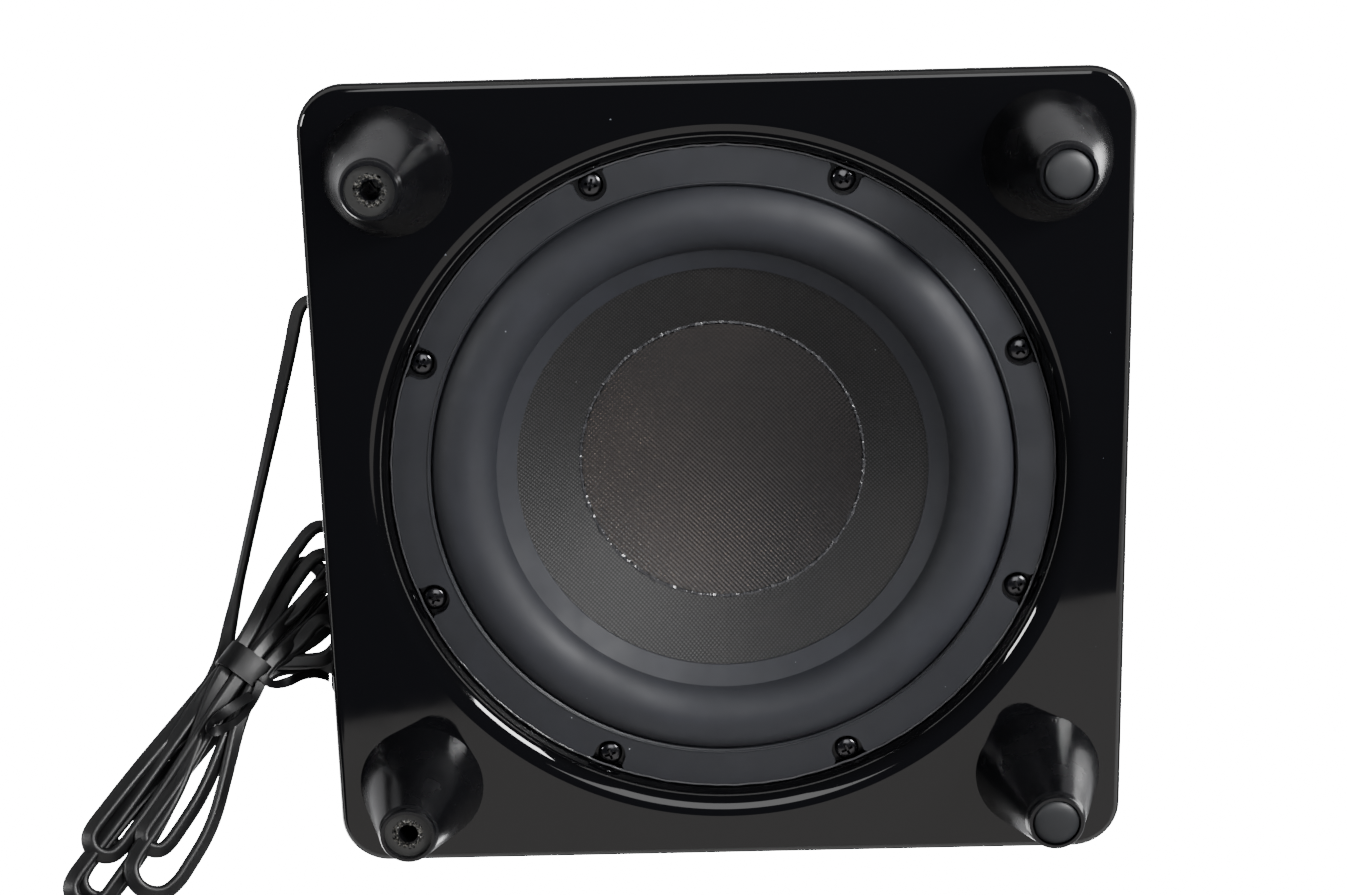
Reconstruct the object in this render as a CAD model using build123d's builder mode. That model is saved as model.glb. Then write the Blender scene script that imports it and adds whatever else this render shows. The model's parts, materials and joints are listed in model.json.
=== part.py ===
from build123d import *
from math import asin, cos, pi, radians, sin, tan
import os

# A powered subwoofer that fires down at the floor from a gloss cabinet on four cone feet.
# Millimetres, +Z up, the floor at Z 0. The front faces -Y and the amplifier faces +Y.
# Pieces are drawn about the driver's axis, and save() centres the whole on its depth.

# Cabinet
SIZE = 267.0  # square footprint of the bottom panel
HEIGHT = 353.0  # floor to top
PANEL_Z = 43.0  # floor to the underside of the bottom panel
LEAN = 6.5  # degrees that the two side walls lean in towards the top
CORNER = 16.0
EDGE = 3.0  # rounding of the bottom and top edges
WALL = 15.0
BOTTOM_BOARD = 25.0
TOP_BOARD = 18.0
BRACE_SIZE = (34.0, 18.0)  # height and depth of the cross brace
BRACE_UP = 16.0  # its middle above the middle of the walls
BLOCK = 22.0  # leg of the triangular glue blocks
WADDING = 20.0

# Driver, measured inwards from the underside of the bottom panel
FRAME_R = 109.8
RECESS_CLEAR = 1.2  # between the frame and the recess's wall
LIP = 8.0  # rounding of the recess's edge
SEAT_W = 16.8  # width of the flange on its seat
FLANGE_DEPTH = 10.0  # depth of the flange's outer face
SHEET = 1.5  # stamped steel of the basket
BASKET_CLEAR = 1.0  # between the basket and the cut-out
KNEE = 18.5  # straight part of the basket's wall
SEAL = 1.5
GASKET_W = 12.5
GASKET = 3.0
RIM_UNDER = 3.2  # width of the surround's rim under the gasket ring
RUBBER = 0.8
ROLL_W = 21.7
ROLL_SUNK = 4.0  # inner edge of the roll inside the gasket ring's face
ROLL_HEIGHT = 8.0
GLUE_W = 6.5  # width of the surround's glued flange
CONE_SLOPE = 0.571  # depth gained for each millimetre towards the axis
CONE_SHEET = 1.0
CAP_R = 47.6
CAP_DISH = 7.0
CAP_SHEET = 0.6
COIL_INNER_R = 19.3
FORMER_SHEET = 0.3
WINDING = 0.7
WINDING_LENGTH = 16.0
SPIDER_RISE = 17.5  # spider's ledge to the front plate
SPIDER_LEDGE = 9.5  # width of the ledge round the neck
PLATE_DEPTH = 75.5
PLATE_THICK = 6.0
PLATE_R = 50.0
NECK_CLEAR = 1.5  # between the front plate's edge and the outside of the neck
MAGNET_R = 55.0
MAGNET_BORE_CLEAR = 5.7  # between the winding and the magnet
NECK_BORE_CLEAR = 3.7  # between the winding and the basket's rear opening
MAGNET_THICK = 18.0
BACK_THICK = 6.0
GAP = 0.6  # running gap on each side of the voice coil
DRIVER_SCREWS = 8
SCREW_EDGE = 3.4  # screw's middle in from the frame's edge
SCREW_HEAD_R = 4.1
SCREW_HEAD = 2.6
SCREW_R = 2.0
SCREW_LENGTH = 14.0
NOTCH_R = 5.3

# Feet
FOOT_AT = 105.0  # each way from the middle
FOOT_BASE_R = 21.0
FOOT_TIP_WALL = 1.4
FOOT_RIM_Z = 1.0
SOCKET_R = 7.8
SOCKET_DEPTH = 2.6
PAD_CLEAR = 0.2
FOOT_BORE_R = 3.1
FOOT_SCREW_DEEP = 13.0  # seat of its screw below the bottom panel
FOOT_SCREW_R = 1.75
FOOT_SCREW_HEAD_R = 2.8
FOOT_SCREW_BITE = 14.0

# Amplifier panel, on the rear wall
PLATE_W = 150.0
PLATE_H = 200.0
PLATE_UP = 17.0  # its middle above the middle of the rear wall
PLATE_SHEET = 2.0
FOAM = 1.5
CUT_W = 130.0
CUT_H = 180.0
PLATE_CORNER = 5.0
AMP_SCREW_R = 1.7
AMP_SCREW_HEAD_R = 3.4
AMP_SCREW_HEAD = 2.0
AMP_SCREW_LENGTH = 14.0
BOARD = 1.6
BOARD_W = 112.0
BOARD_H = 156.0
BOARD_GAP = 21.4  # inside of the plate to the circuit board
STANDOFF_R = 3.0
STANDOFF_SCREW_R = 1.5
# Places on the panel, across and up from its middle, seen from behind
KNOBS = {"level": (-38.0, 57.0), "crossover": (38.0, 57.0)}
SLIDERS = {"mode": (-38.0, 21.0), "phase": (38.0, 21.0)}
JACKS = [(-50.0, -15.0), (-26.0, -15.0), (-2.0, -15.0)]
LAMP = (0.0, 86.0)
ROCKER = (-38.0, -53.0)
GLAND = (37.0, -29.0)

BUSHING_R = 3.5
SHAFT_R = 3.0
SHAFT_FIT = 0.05
POT_R = 8.5
POT_DEPTH = 10.0
NUT_FLATS = 10.0
NUT = 2.0
KNOB_R = 9.5
KNOB_H = 13.0
KNOB_GAP = 0.6

SLOT_W = 9.4
SLOT_H = 4.4
LEVER = 4.0
LEVER_TRAVEL = 5.0

ROCKER_R = 10.0
ROCKER_W = 11.6
ROCKER_CLEAR = 0.25
ROCKER_SUNK = 2.0  # pivot inside the back of the amplifier's steel panel
ROCKER_TILT = 8.0  # degrees each way; it rests tilted to off
BEZEL_SIDE = 2.7  # bezel beyond the button, at its sides
BEZEL_END = 3.0  # and at its ends
BEZEL_EDGE = 1.5  # bezel's flange beyond its body
BEZEL_OUT = 1.5
BEZEL_DEEP = 18.0

LAMP_R = 2.5
LAMP_OUT = 1.6
JACK_SHELL_R = 4.15
JACK_WALL = 0.85
JACK_FLANGE = 1.2
JACK_CORE_R = 3.3
JACK_BORE_R = 1.6
JACK_OUT = 9.0

TOROID_R = 38.0
TOROID_H = 32.0
TOROID_AT = (4.0, -49.0)
TOROID_BOLT_R = 3.0
CAN_R = 12.5
CAN_H = 38.0
CANS = [(-34.0, 35.0), (-6.0, 35.0)]
SINK_AT = (34.0, 33.0)
WIRE_X = 47.0

# Mains cord: two cores side by side in one flat sheath
CORD_W = 5.6
CORD_T = 3.0
BOOT = 16.5
LEAD_ROUTE = [
    (-37.0, 153.5, 186.0), (-37.0, 157.8, 186.0), (-35.2, 160.6, 184.6), (-31.0, 162.2, 181.0),
    (-21.5, 163.1, 172.0), (56.4, 174.2, 81.0), (65.8, 175.3, 72.0), (72.9, 178.3, 61.3),
]
HANK_FOOT = Vector(125.0, 217.0, 8.0)
HANK_HEAD = Vector(37.0, 139.5, 89.0)
HANK_THICK = 11.0
TIE_FROM_FOOT = 88.0
TIE_W = 10.0
HANK_WAIST = 16.0
TAIL_ROUTE = [
    (70.0, 155.5, 68.0), (73.6, 147.4, 76.5), (76.8, 141.2, 86.0), (80.8, 140.6, 96.6),
]
PLUG_RELIEF = 11.0
PLUG_BODY = (20.0, 9.0, 24.0)  # width, thickness, length
BLADE = (6.3, 1.5, 16.0)
BLADE_PITCH = 12.7


def save(part, name):
    """Centre a piece on the whole object's depth, label it and write its STEP file."""
    piece = part.moved(Location((0, -MIDDLE_Y, 0)))
    piece.label = name
    export_step(piece, f"parts/{name}.step")


def depth(value):
    """Height of a level measured inwards from the bottom panel's underside."""
    return PANEL_Z + value


def half_width(z):
    """Half the cabinet's width across the leaning walls at a height."""
    return SIZE / 2 - (z - PANEL_Z) * tan(radians(LEAN))


def tapered_block(inset, z_low, z_high, corner):
    """The cabinet's outline between two heights, its walls moved in by inset."""
    side = inset / cos(radians(LEAN))
    low = half_width(z_low) - side
    high = half_width(z_high) - side
    with BuildPart() as block:
        with BuildSketch(Plane.XZ):
            with BuildLine():
                Polyline((-low, z_low), (low, z_low), (high, z_high), (-high, z_high), close=True)
            make_face()
        extrude(amount=SIZE / 2 - inset, both=True)
        if corner:
            rising = block.edges().filter_by(lambda e: abs((e @ 1 - e @ 0).Z) > 1)
            fillet(rising, corner)
    return block.part


def ring(inner, outer, z_low, z_high):
    """A flat ring or tube about the driver's axis."""
    with BuildPart() as body:
        with BuildSketch(Plane.XY.offset(z_low)):
            Circle(outer)
            if inner:
                Circle(inner, mode=Mode.SUBTRACT)
        extrude(amount=z_high - z_low)
    return body.part


def turned(points):
    """A solid turned about Z from an outline of (radius, height) points."""
    with BuildPart() as body:
        with BuildSketch(Plane.XZ):
            with BuildLine():
                Polyline(*points, close=True)
            make_face()
        revolve(axis=Axis.Z)
    return body.part


def dome_point(radius, rise):
    """A point halfway along the arc from a dome's middle to its edge: out and along."""
    sphere = (radius ** 2 + rise ** 2) / (2 * rise)
    half = asin(radius / sphere) / 2
    return sphere * sin(half), sphere - sphere * cos(half)


def rear_plane(out):
    """A plane parallel to the rear wall, out from its face, about the amplifier panel's middle."""
    return Plane(origin=(0, SIZE / 2 + out, PLATE_Z), x_dir=(-1, 0, 0), z_dir=(0, 1, 0))


RECESS_R = FRAME_R + RECESS_CLEAR
RECESS_DEPTH = FLANGE_DEPTH + SHEET + SEAL
CUTOUT_R = FRAME_R - SEAT_W
SCREW_CIRCLE_R = FRAME_R - SCREW_EDGE
GASKET_DEPTH = FLANGE_DEPTH - GASKET
GASKET_INNER_R = FRAME_R - GASKET_W
SURROUND_RIM_R = GASKET_INNER_R + RIM_UNDER
ROLL_INNER_R = GASKET_INNER_R - ROLL_W
ROLL_INNER_DEPTH = GASKET_DEPTH + ROLL_SUNK
GLUE_FLANGE_R = ROLL_INNER_R - GLUE_W
SPIDER_DEPTH = PLATE_DEPTH - SPIDER_RISE
NECK_R = PLATE_R + NECK_CLEAR
SPIDER_R = NECK_R + SPIDER_LEDGE
FOOT_TIP_R = SOCKET_R + FOOT_TIP_WALL
PAD_R = SOCKET_R - PAD_CLEAR
SCREW_SEAT_Z = PANEL_Z - FOOT_SCREW_DEEP
PLATE_OUT = FOAM + PLATE_SHEET  # outer face of the amplifier panel
BEZEL_W = ROCKER_W + 2 * BEZEL_SIDE
BEZEL_H = 2 * (ROCKER_R + BEZEL_END)
MIDDLE_Y = (PLATE_OUT + BOOT) / 2  # middle of the depth, with the cord's boot
PLATE_Z = (PANEL_Z + HEIGHT) / 2 + PLATE_UP
BRACE_Z = (PANEL_Z + HEIGHT) / 2 + BRACE_UP
SCREW_ANGLES = [360 / DRIVER_SCREWS * (k + 0.5) for k in range(DRIVER_SCREWS)]
FEET = {
    "front_left": (-FOOT_AT, -FOOT_AT),
    "front_right": (FOOT_AT, -FOOT_AT),
    "rear_left": (-FOOT_AT, FOOT_AT),
    "rear_right": (FOOT_AT, FOOT_AT),
}


def amp_screw_places():
    """Screws of the amplifier panel, across and up."""
    across = (PLATE_W + CUT_W) / 4
    up = (PLATE_H + CUT_H) / 4
    sides = [(x, z) for x in (-across, across) for z in (-up / 3, up / 3)]
    ends = [(x, z) for x in (-across, 0, across) for z in (-up, up)]
    return sides + ends


# Cabinet


def amp_pilot_holes():
    """The holes that the amplifier panel's screws need in the boards behind it."""
    with BuildPart() as holes:
        with BuildSketch(rear_plane(0)):
            with Locations(*amp_screw_places()):
                Circle(AMP_SCREW_R)
        extrude(amount=PLATE_OUT - AMP_SCREW_LENGTH)
    return holes.part


def bottom_panel():
    """Gloss baffle with the driver's recess and the screw holes of driver and feet."""
    with BuildPart() as panel:
        add(tapered_block(0, PANEL_Z, PANEL_Z + BOTTOM_BOARD, CORNER))
        fillet(panel.faces().sort_by(Axis.Z)[0].edges(), EDGE)
        with BuildSketch(Plane.XY.offset(PANEL_Z)):
            Circle(RECESS_R)
        extrude(amount=RECESS_DEPTH, mode=Mode.SUBTRACT)
        rims = panel.edges().filter_by(GeomType.CIRCLE).filter_by(lambda e: abs(e.radius - RECESS_R) < 0.01)
        fillet(rims.sort_by(Axis.Z)[0], LIP)
        with BuildSketch(Plane.XY.offset(PANEL_Z)):
            Circle(CUTOUT_R)
        extrude(amount=BOTTOM_BOARD, mode=Mode.SUBTRACT)
        with BuildSketch(Plane.XY.offset(depth(RECESS_DEPTH))):
            with Locations(*[Vector(SCREW_CIRCLE_R, 0).rotate(Axis.Z, a) for a in SCREW_ANGLES]):
                Circle(SCREW_R)
        extrude(amount=FLANGE_DEPTH + SCREW_LENGTH - RECESS_DEPTH, mode=Mode.SUBTRACT)
        with BuildSketch(Plane.XY.offset(PANEL_Z)):
            with Locations(*FEET.values()):
                Circle(FOOT_SCREW_R)
        extrude(amount=FOOT_SCREW_BITE, mode=Mode.SUBTRACT)
    return panel.part


def cabinet_sleeve():
    """The four walls, lacquered as one, with the amplifier's opening in the rear."""
    low = PANEL_Z + BOTTOM_BOARD
    high = HEIGHT - TOP_BOARD
    with BuildPart() as sleeve:
        add(tapered_block(0, low, high, CORNER))
        add(tapered_block(WALL, low, high, 0), mode=Mode.SUBTRACT)
        with BuildSketch(rear_plane(1)):
            RectangleRounded(CUT_W, CUT_H, PLATE_CORNER)
        extrude(amount=-(WALL + 2), mode=Mode.SUBTRACT)
        add(amp_pilot_holes(), mode=Mode.SUBTRACT)
    return sleeve.part


def top_panel():
    """Lacquered lid with rounded edges."""
    with BuildPart() as lid:
        add(tapered_block(0, HEIGHT - TOP_BOARD, HEIGHT, CORNER))
        fillet(lid.faces().sort_by(Axis.Z)[-1].edges(), EDGE)
        add(amp_pilot_holes(), mode=Mode.SUBTRACT)
    return lid.part


def cross_brace():
    """Bar between the two leaning walls."""
    low = BRACE_Z - BRACE_SIZE[0] / 2
    high = BRACE_Z + BRACE_SIZE[0] / 2
    with BuildPart() as brace:
        add(tapered_block(WALL, low, high, 0))
        with Locations((0, 0, BRACE_Z)):
            Box(SIZE, BRACE_SIZE[1], BRACE_SIZE[0], mode=Mode.INTERSECT)
    return brace.part


def glue_blocks():
    """Triangular blocks in the joint between the bottom panel and the front and rear walls."""
    z = PANEL_Z + BOTTOM_BOARD
    y = SIZE / 2 - WALL
    length = 60.0
    with BuildPart() as blocks:
        for side in (-1, 1):
            with BuildSketch(Plane.YZ):
                with BuildLine():
                    Polyline((side * y, z), (side * (y - BLOCK), z), (side * y, z + BLOCK), close=True)
                make_face()
            extrude(amount=length / 2, both=True)
    return blocks.part


def wadding():
    """Polyester damping under the lid."""
    top = HEIGHT - TOP_BOARD
    margin = 12.0
    with BuildPart() as pad:
        with Locations((0, 0, top)):
            Box(
                2 * (half_width(top) - WALL - margin), SIZE - 2 * (WALL + margin) - 40, WADDING,
                align=(Align.CENTER, Align.CENTER, Align.MAX),
            )
    return pad.part


# Feet


def foot(x, y):
    """Cone foot: a moulded cone with a socket in its tip and a deep screw bore."""
    with BuildPart() as cone_foot:
        with BuildSketch(Plane.XZ):
            with BuildLine():
                Polyline(
                    (FOOT_BORE_R, FOOT_RIM_Z + SOCKET_DEPTH), (SOCKET_R, FOOT_RIM_Z + SOCKET_DEPTH),
                    (SOCKET_R, FOOT_RIM_Z), (FOOT_TIP_R - 0.4, FOOT_RIM_Z),
                    (FOOT_TIP_R, FOOT_RIM_Z + 0.6), (FOOT_TIP_R, FOOT_RIM_Z + 2.2),
                    (FOOT_TIP_R + 0.6, FOOT_RIM_Z + 3.2), (FOOT_BASE_R, PANEL_Z),
                    (FOOT_SCREW_R, PANEL_Z), (FOOT_SCREW_R, SCREW_SEAT_Z),
                    (FOOT_BORE_R, SCREW_SEAT_Z), close=True,
                )
            make_face()
        revolve(axis=Axis.Z)
    return cone_foot.part.moved(Location((x, y, 0)))


def foot_screws():
    """The pan head screw inside each foot."""
    head = 2.4
    with BuildPart() as screws:
        with Locations(*[(x, y, SCREW_SEAT_Z) for x, y in FEET.values()]):
            Cylinder(FOOT_SCREW_HEAD_R, head, align=(Align.CENTER, Align.CENTER, Align.MAX))
            Cylinder(
                FOOT_SCREW_R, PANEL_Z + FOOT_SCREW_BITE - SCREW_SEAT_Z,
                align=(Align.CENTER, Align.CENTER, Align.MIN),
            )
    return screws.part


def foot_pad():
    """Domed rubber disc that fits the socket in a foot's tip."""
    shoulder = 1.3
    seat = FOOT_RIM_Z + SOCKET_DEPTH
    with BuildPart() as pad:
        with BuildSketch(Plane.XZ):
            with BuildLine():
                Polyline((0, 0), (0, seat), (PAD_R, seat), (PAD_R, shoulder))
                ThreePointArc((PAD_R, shoulder), dome_point(PAD_R, shoulder), (0, 0))
            make_face()
        revolve(axis=Axis.Z)
    return pad.part


def foot_pads():
    """The pads of the two front feet, standing on the floor."""
    with BuildPart() as pads:
        with Locations(FEET["front_left"], FEET["front_right"]):
            add(foot_pad())
    return pads.part


# Driver


def cone_depth(radius):
    """Depth of the cone's outer face at a radius."""
    return ROLL_INNER_DEPTH + RUBBER + (ROLL_INNER_R - radius) * CONE_SLOPE


def basket():
    """Stamped steel frame with six windows."""
    wall_outer = CUTOUT_R - BASKET_CLEAR
    knee = FLANGE_DEPTH + SHEET + KNEE
    plate = PLATE_DEPTH
    bore = WINDING_R + NECK_BORE_CLEAR
    windows = 6
    with BuildPart() as frame:
        add(turned([
            (FRAME_R, depth(FLANGE_DEPTH + SHEET)), (wall_outer, depth(FLANGE_DEPTH + SHEET)),
            (wall_outer, depth(knee)), (SPIDER_R + 1, depth(SPIDER_DEPTH + SHEET)),
            (NECK_R, depth(SPIDER_DEPTH + SHEET)), (NECK_R, depth(plate)), (bore, depth(plate)),
            (bore, depth(plate - SHEET)), (NECK_R - SHEET, depth(plate - SHEET)),
            (NECK_R - SHEET, depth(SPIDER_DEPTH)), (SPIDER_R, depth(SPIDER_DEPTH)),
            (wall_outer - SHEET, depth(knee - 0.7)), (wall_outer - SHEET, depth(FLANGE_DEPTH)),
            (FRAME_R, depth(FLANGE_DEPTH)),
        ]))
        with Locations((0, 0, depth(knee - 6))):
            with PolarLocations((wall_outer + SPIDER_R) / 2 + 5, windows):
                Box(
                    32, 0.54 * wall_outer, SPIDER_DEPTH - knee + 2,
                    align=(Align.CENTER, Align.CENTER, Align.MIN), mode=Mode.SUBTRACT,
                )
        with BuildSketch(Plane.XY.offset(depth(FLANGE_DEPTH))):
            with Locations(*[Vector(SCREW_CIRCLE_R, 0).rotate(Axis.Z, a) for a in SCREW_ANGLES]):
                Circle(SCREW_R)
        extrude(amount=SHEET, mode=Mode.SUBTRACT)
    return frame.part


def seal():
    """Foam ring between the frame and the bottom panel."""
    with BuildPart() as foam:
        add(ring(CUTOUT_R, FRAME_R, depth(FLANGE_DEPTH + SHEET), depth(RECESS_DEPTH)))
        with BuildSketch(Plane.XY.offset(depth(FLANGE_DEPTH + SHEET))):
            with Locations(*[Vector(SCREW_CIRCLE_R, 0).rotate(Axis.Z, a) for a in SCREW_ANGLES]):
                Circle(SCREW_R)
        extrude(amount=RECESS_DEPTH - FLANGE_DEPTH - SHEET, mode=Mode.SUBTRACT)
    return foam.part


def gasket_ring():
    """Ring over the surround's rim, with a round notch with flared mouth at each screw."""
    rim_depth = FLANGE_DEPTH - RUBBER
    flare = NOTCH_R + 2.2
    with BuildPart() as body:
        add(turned([
            (GASKET_INNER_R, depth(GASKET_DEPTH + 0.6)), (GASKET_INNER_R + 0.8, depth(GASKET_DEPTH)),
            (FRAME_R, depth(GASKET_DEPTH)), (FRAME_R, depth(FLANGE_DEPTH)),
            (SURROUND_RIM_R, depth(FLANGE_DEPTH)), (SURROUND_RIM_R, depth(rim_depth)),
            (GASKET_INNER_R, depth(rim_depth)),
        ]))
        with BuildSketch(Plane.XY.offset(depth(GASKET_DEPTH - 1))):
            for angle in SCREW_ANGLES:
                with Locations(Rotation(0, 0, angle) * Pos(SCREW_CIRCLE_R, 0)):
                    Circle(NOTCH_R)
                    Rectangle(NOTCH_R, 2 * NOTCH_R, align=(Align.MIN, Align.CENTER))
                with Locations(Rotation(0, 0, angle) * Pos(FRAME_R, 0)):
                    Trapezoid(2 * flare, 2.2, 45, rotation=90)
        extrude(amount=FLANGE_DEPTH - GASKET_DEPTH + 2, mode=Mode.SUBTRACT)
    return body.part


def driver_screws():
    """Eight cross-recess pan head screws."""
    with BuildPart() as screws:
        for angle in SCREW_ANGLES:
            x, y, _ = Vector(SCREW_CIRCLE_R, 0).rotate(Axis.Z, angle)
            with Locations((x, y, depth(FLANGE_DEPTH))):
                Cylinder(SCREW_HEAD_R, SCREW_HEAD, align=(Align.CENTER, Align.CENTER, Align.MAX))
                Cylinder(SCREW_R, SCREW_LENGTH, align=(Align.CENTER, Align.CENTER, Align.MIN))
        heads = screws.edges().filter_by(GeomType.CIRCLE).group_by(Axis.Z)[0]
        fillet(heads, 1.2)
        for angle in SCREW_ANGLES:
            x, y, _ = Vector(SCREW_CIRCLE_R, 0).rotate(Axis.Z, angle)
            with Locations((x, y, depth(FLANGE_DEPTH - SCREW_HEAD))):
                for turn in (20, 110):
                    Box(
                        4.2, 0.9, 1.4, rotation=(0, 0, angle + turn),
                        align=(Align.CENTER, Align.CENTER, Align.MIN), mode=Mode.SUBTRACT,
                    )
    return screws.part


def surround():
    """Rubber half roll with its outer rim and the flange glued to the cone."""
    rim = FLANGE_DEPTH - RUBBER
    mid = (GASKET_INNER_R + ROLL_INNER_R) / 2
    crest = ROLL_INNER_DEPTH - ROLL_HEIGHT
    with BuildPart() as rubber:
        with BuildSketch(Plane.XZ):
            with BuildLine():
                Line((SURROUND_RIM_R, depth(FLANGE_DEPTH)), (SURROUND_RIM_R, depth(rim)))
                Line((SURROUND_RIM_R, depth(rim)), (GASKET_INNER_R, depth(rim)))
                ThreePointArc(
                    (GASKET_INNER_R, depth(rim)),
                    (mid, depth(crest)),
                    (ROLL_INNER_R, depth(ROLL_INNER_DEPTH)),
                )
                Polyline(
                    (ROLL_INNER_R, depth(ROLL_INNER_DEPTH)),
                    (GLUE_FLANGE_R, depth(cone_depth(GLUE_FLANGE_R) - RUBBER)),
                    (GLUE_FLANGE_R, depth(cone_depth(GLUE_FLANGE_R))),
                    (ROLL_INNER_R + RUBBER, depth(cone_depth(ROLL_INNER_R + RUBBER))),
                )
                ThreePointArc(
                    (ROLL_INNER_R + RUBBER, depth(cone_depth(ROLL_INNER_R + RUBBER))),
                    (mid, depth(crest + RUBBER)), (GASKET_INNER_R - RUBBER, depth(FLANGE_DEPTH)),
                )
                Line((GASKET_INNER_R - RUBBER, depth(FLANGE_DEPTH)), (SURROUND_RIM_R, depth(FLANGE_DEPTH)))
            make_face()
        revolve(axis=Axis.Z)
    return rubber.part


FORMER_R = COIL_INNER_R + FORMER_SHEET
WINDING_R = FORMER_R + WINDING
WINDING_DEPTH = PLATE_DEPTH + PLATE_THICK / 2 - WINDING_LENGTH / 2
COIL_TOP = depth(WINDING_DEPTH + WINDING_LENGTH)
MAGNET_Z = depth(PLATE_DEPTH + PLATE_THICK)


def cone():
    """Woven cone with the short neck that is glued to the coil former."""
    outer = ROLL_INNER_R + RUBBER
    neck = FORMER_R + CONE_SHEET
    with BuildPart() as body:
        add(turned([
            (outer, depth(cone_depth(outer))), (FORMER_R, depth(cone_depth(FORMER_R))),
            (FORMER_R, depth(cone_depth(FORMER_R) + 4)), (neck, depth(cone_depth(FORMER_R) + 4)),
            (neck, depth(cone_depth(neck) + CONE_SHEET)), (outer, depth(cone_depth(outer) + CONE_SHEET)),
        ]))
    return body.part


def dust_cap():
    """Dished cap over the coil, in the same weave as the cone."""
    rim = cone_depth(CAP_R)
    out, along = dome_point(CAP_R, CAP_DISH)
    back = rim + CAP_DISH
    front = back - CAP_SHEET
    with BuildPart() as cap:
        with BuildSketch(Plane.XZ):
            with BuildLine():
                Line((0, depth(back)), (0, depth(front)))
                ThreePointArc((0, depth(front)), (out, depth(front - along)), (CAP_R, depth(rim - CAP_SHEET)))
                Line((CAP_R, depth(rim - CAP_SHEET)), (CAP_R, depth(rim)))
                ThreePointArc((CAP_R, depth(rim)), (out, depth(back - along)), (0, depth(back)))
            make_face()
        revolve(axis=Axis.Z)
    return cap.part


def cap_bead():
    """Bead of glue round the edge of the dust cap."""
    width = 1.6
    outer = CAP_R + width
    return turned([
        (CAP_R, depth(cone_depth(CAP_R))), (CAP_R, depth(cone_depth(CAP_R) - CAP_SHEET - 0.4)),
        (CAP_R + width / 2, depth(cone_depth(CAP_R) - CAP_SHEET - 0.5)), (outer, depth(cone_depth(outer))),
    ])


def magnet_yoke():
    """Back plate with the vented pole piece."""
    pole_r = COIL_INNER_R - GAP
    vent_r = 6.0
    front = PLATE_DEPTH + PLATE_THICK + MAGNET_THICK
    return turned([
        (vent_r, depth(PLATE_DEPTH)), (pole_r, depth(PLATE_DEPTH)), (pole_r, depth(front)),
        (PLATE_R, depth(front)), (PLATE_R, depth(front + BACK_THICK)), (vent_r, depth(front + BACK_THICK)),
    ])


def terminal_board():
    """Small board that carries the driver's two tabs on the neck of the basket."""
    with BuildPart() as board:
        with Locations((0, NECK_R - 2, depth(SPIDER_DEPTH + SHEET + 8))):
            Box(24, 6, 11, align=(Align.CENTER, Align.MIN, Align.CENTER))
        with Locations((0, 0, depth(SPIDER_DEPTH))):
            Cylinder(NECK_R, 40, mode=Mode.SUBTRACT)
    return board.part


def terminal_tabs():
    """Two push-on tabs."""
    with BuildPart() as tabs:
        with Locations(*[(x, NECK_R + 4, depth(SPIDER_DEPTH + SHEET + 8)) for x in (-6, 6)]):
            Box(4.8, 8, 0.8, align=(Align.CENTER, Align.MIN, Align.CENTER))
    return tabs.part


# Amplifier


def plate_holes():
    """Every opening in the amplifier panel, as one flat sketch seen from behind."""
    with BuildSketch() as holes:
        with Locations(*amp_screw_places()):
            Circle(AMP_SCREW_R)
        with Locations(*KNOBS.values()):
            Circle(BUSHING_R)
        with Locations(*SLIDERS.values()):
            Rectangle(SLOT_W, SLOT_H)
        with Locations(*JACKS):
            Circle(JACK_SHELL_R + JACK_WALL)
        with Locations(LAMP):
            Circle(LAMP_R)
        with Locations(ROCKER):
            Rectangle(BEZEL_W - 2 * BEZEL_EDGE, BEZEL_H - 2 * BEZEL_EDGE)
        with Locations(GLAND):
            RectangleRounded(13, 9, 2)
        with Locations(*standoff_places()):
            Circle(STANDOFF_SCREW_R)
        with Locations(TOROID_AT):
            Circle(TOROID_BOLT_R)
    return holes.sketch


def standoff_places():
    """Corners of the circuit board, across and up."""
    x = BOARD_W / 2 - 5
    z = BOARD_H / 2 - 5
    return [(i * x, j * z) for i in (-1, 1) for j in (-1, 1)]


def amp_plate():
    """Painted steel panel that carries the amplifier."""
    with BuildPart() as plate:
        with BuildSketch(rear_plane(FOAM)):
            RectangleRounded(PLATE_W, PLATE_H, PLATE_CORNER)
            add(plate_holes(), mode=Mode.SUBTRACT)
        extrude(amount=PLATE_SHEET)
    return plate.part


def amp_foam():
    """Foam gasket under the edge of the amplifier panel."""
    with BuildPart() as foam:
        with BuildSketch(rear_plane(0)):
            RectangleRounded(PLATE_W, PLATE_H, PLATE_CORNER)
            RectangleRounded(CUT_W, CUT_H, PLATE_CORNER, mode=Mode.SUBTRACT)
            with Locations(*amp_screw_places()):
                Circle(AMP_SCREW_R, mode=Mode.SUBTRACT)
        extrude(amount=FOAM)
    return foam.part


def amp_screws():
    """Ten pan head screws round the amplifier panel."""
    with BuildPart() as screws:
        with BuildSketch(rear_plane(PLATE_OUT)):
            with Locations(*amp_screw_places()):
                Circle(AMP_SCREW_HEAD_R)
        extrude(amount=AMP_SCREW_HEAD)
        fillet(screws.edges().filter_by(GeomType.CIRCLE).group_by(Axis.Y)[-1], 1.0)
        with BuildSketch(rear_plane(PLATE_OUT)):
            with Locations(*amp_screw_places()):
                Circle(AMP_SCREW_R)
        extrude(amount=-AMP_SCREW_LENGTH)
        with BuildSketch(rear_plane(PLATE_OUT + AMP_SCREW_HEAD)):
            with Locations(*amp_screw_places()):
                Rectangle(3.6, 0.8, rotation=30)
                Rectangle(0.8, 3.6, rotation=30)
        extrude(amount=-1.1, mode=Mode.SUBTRACT)
    return screws.part


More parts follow.
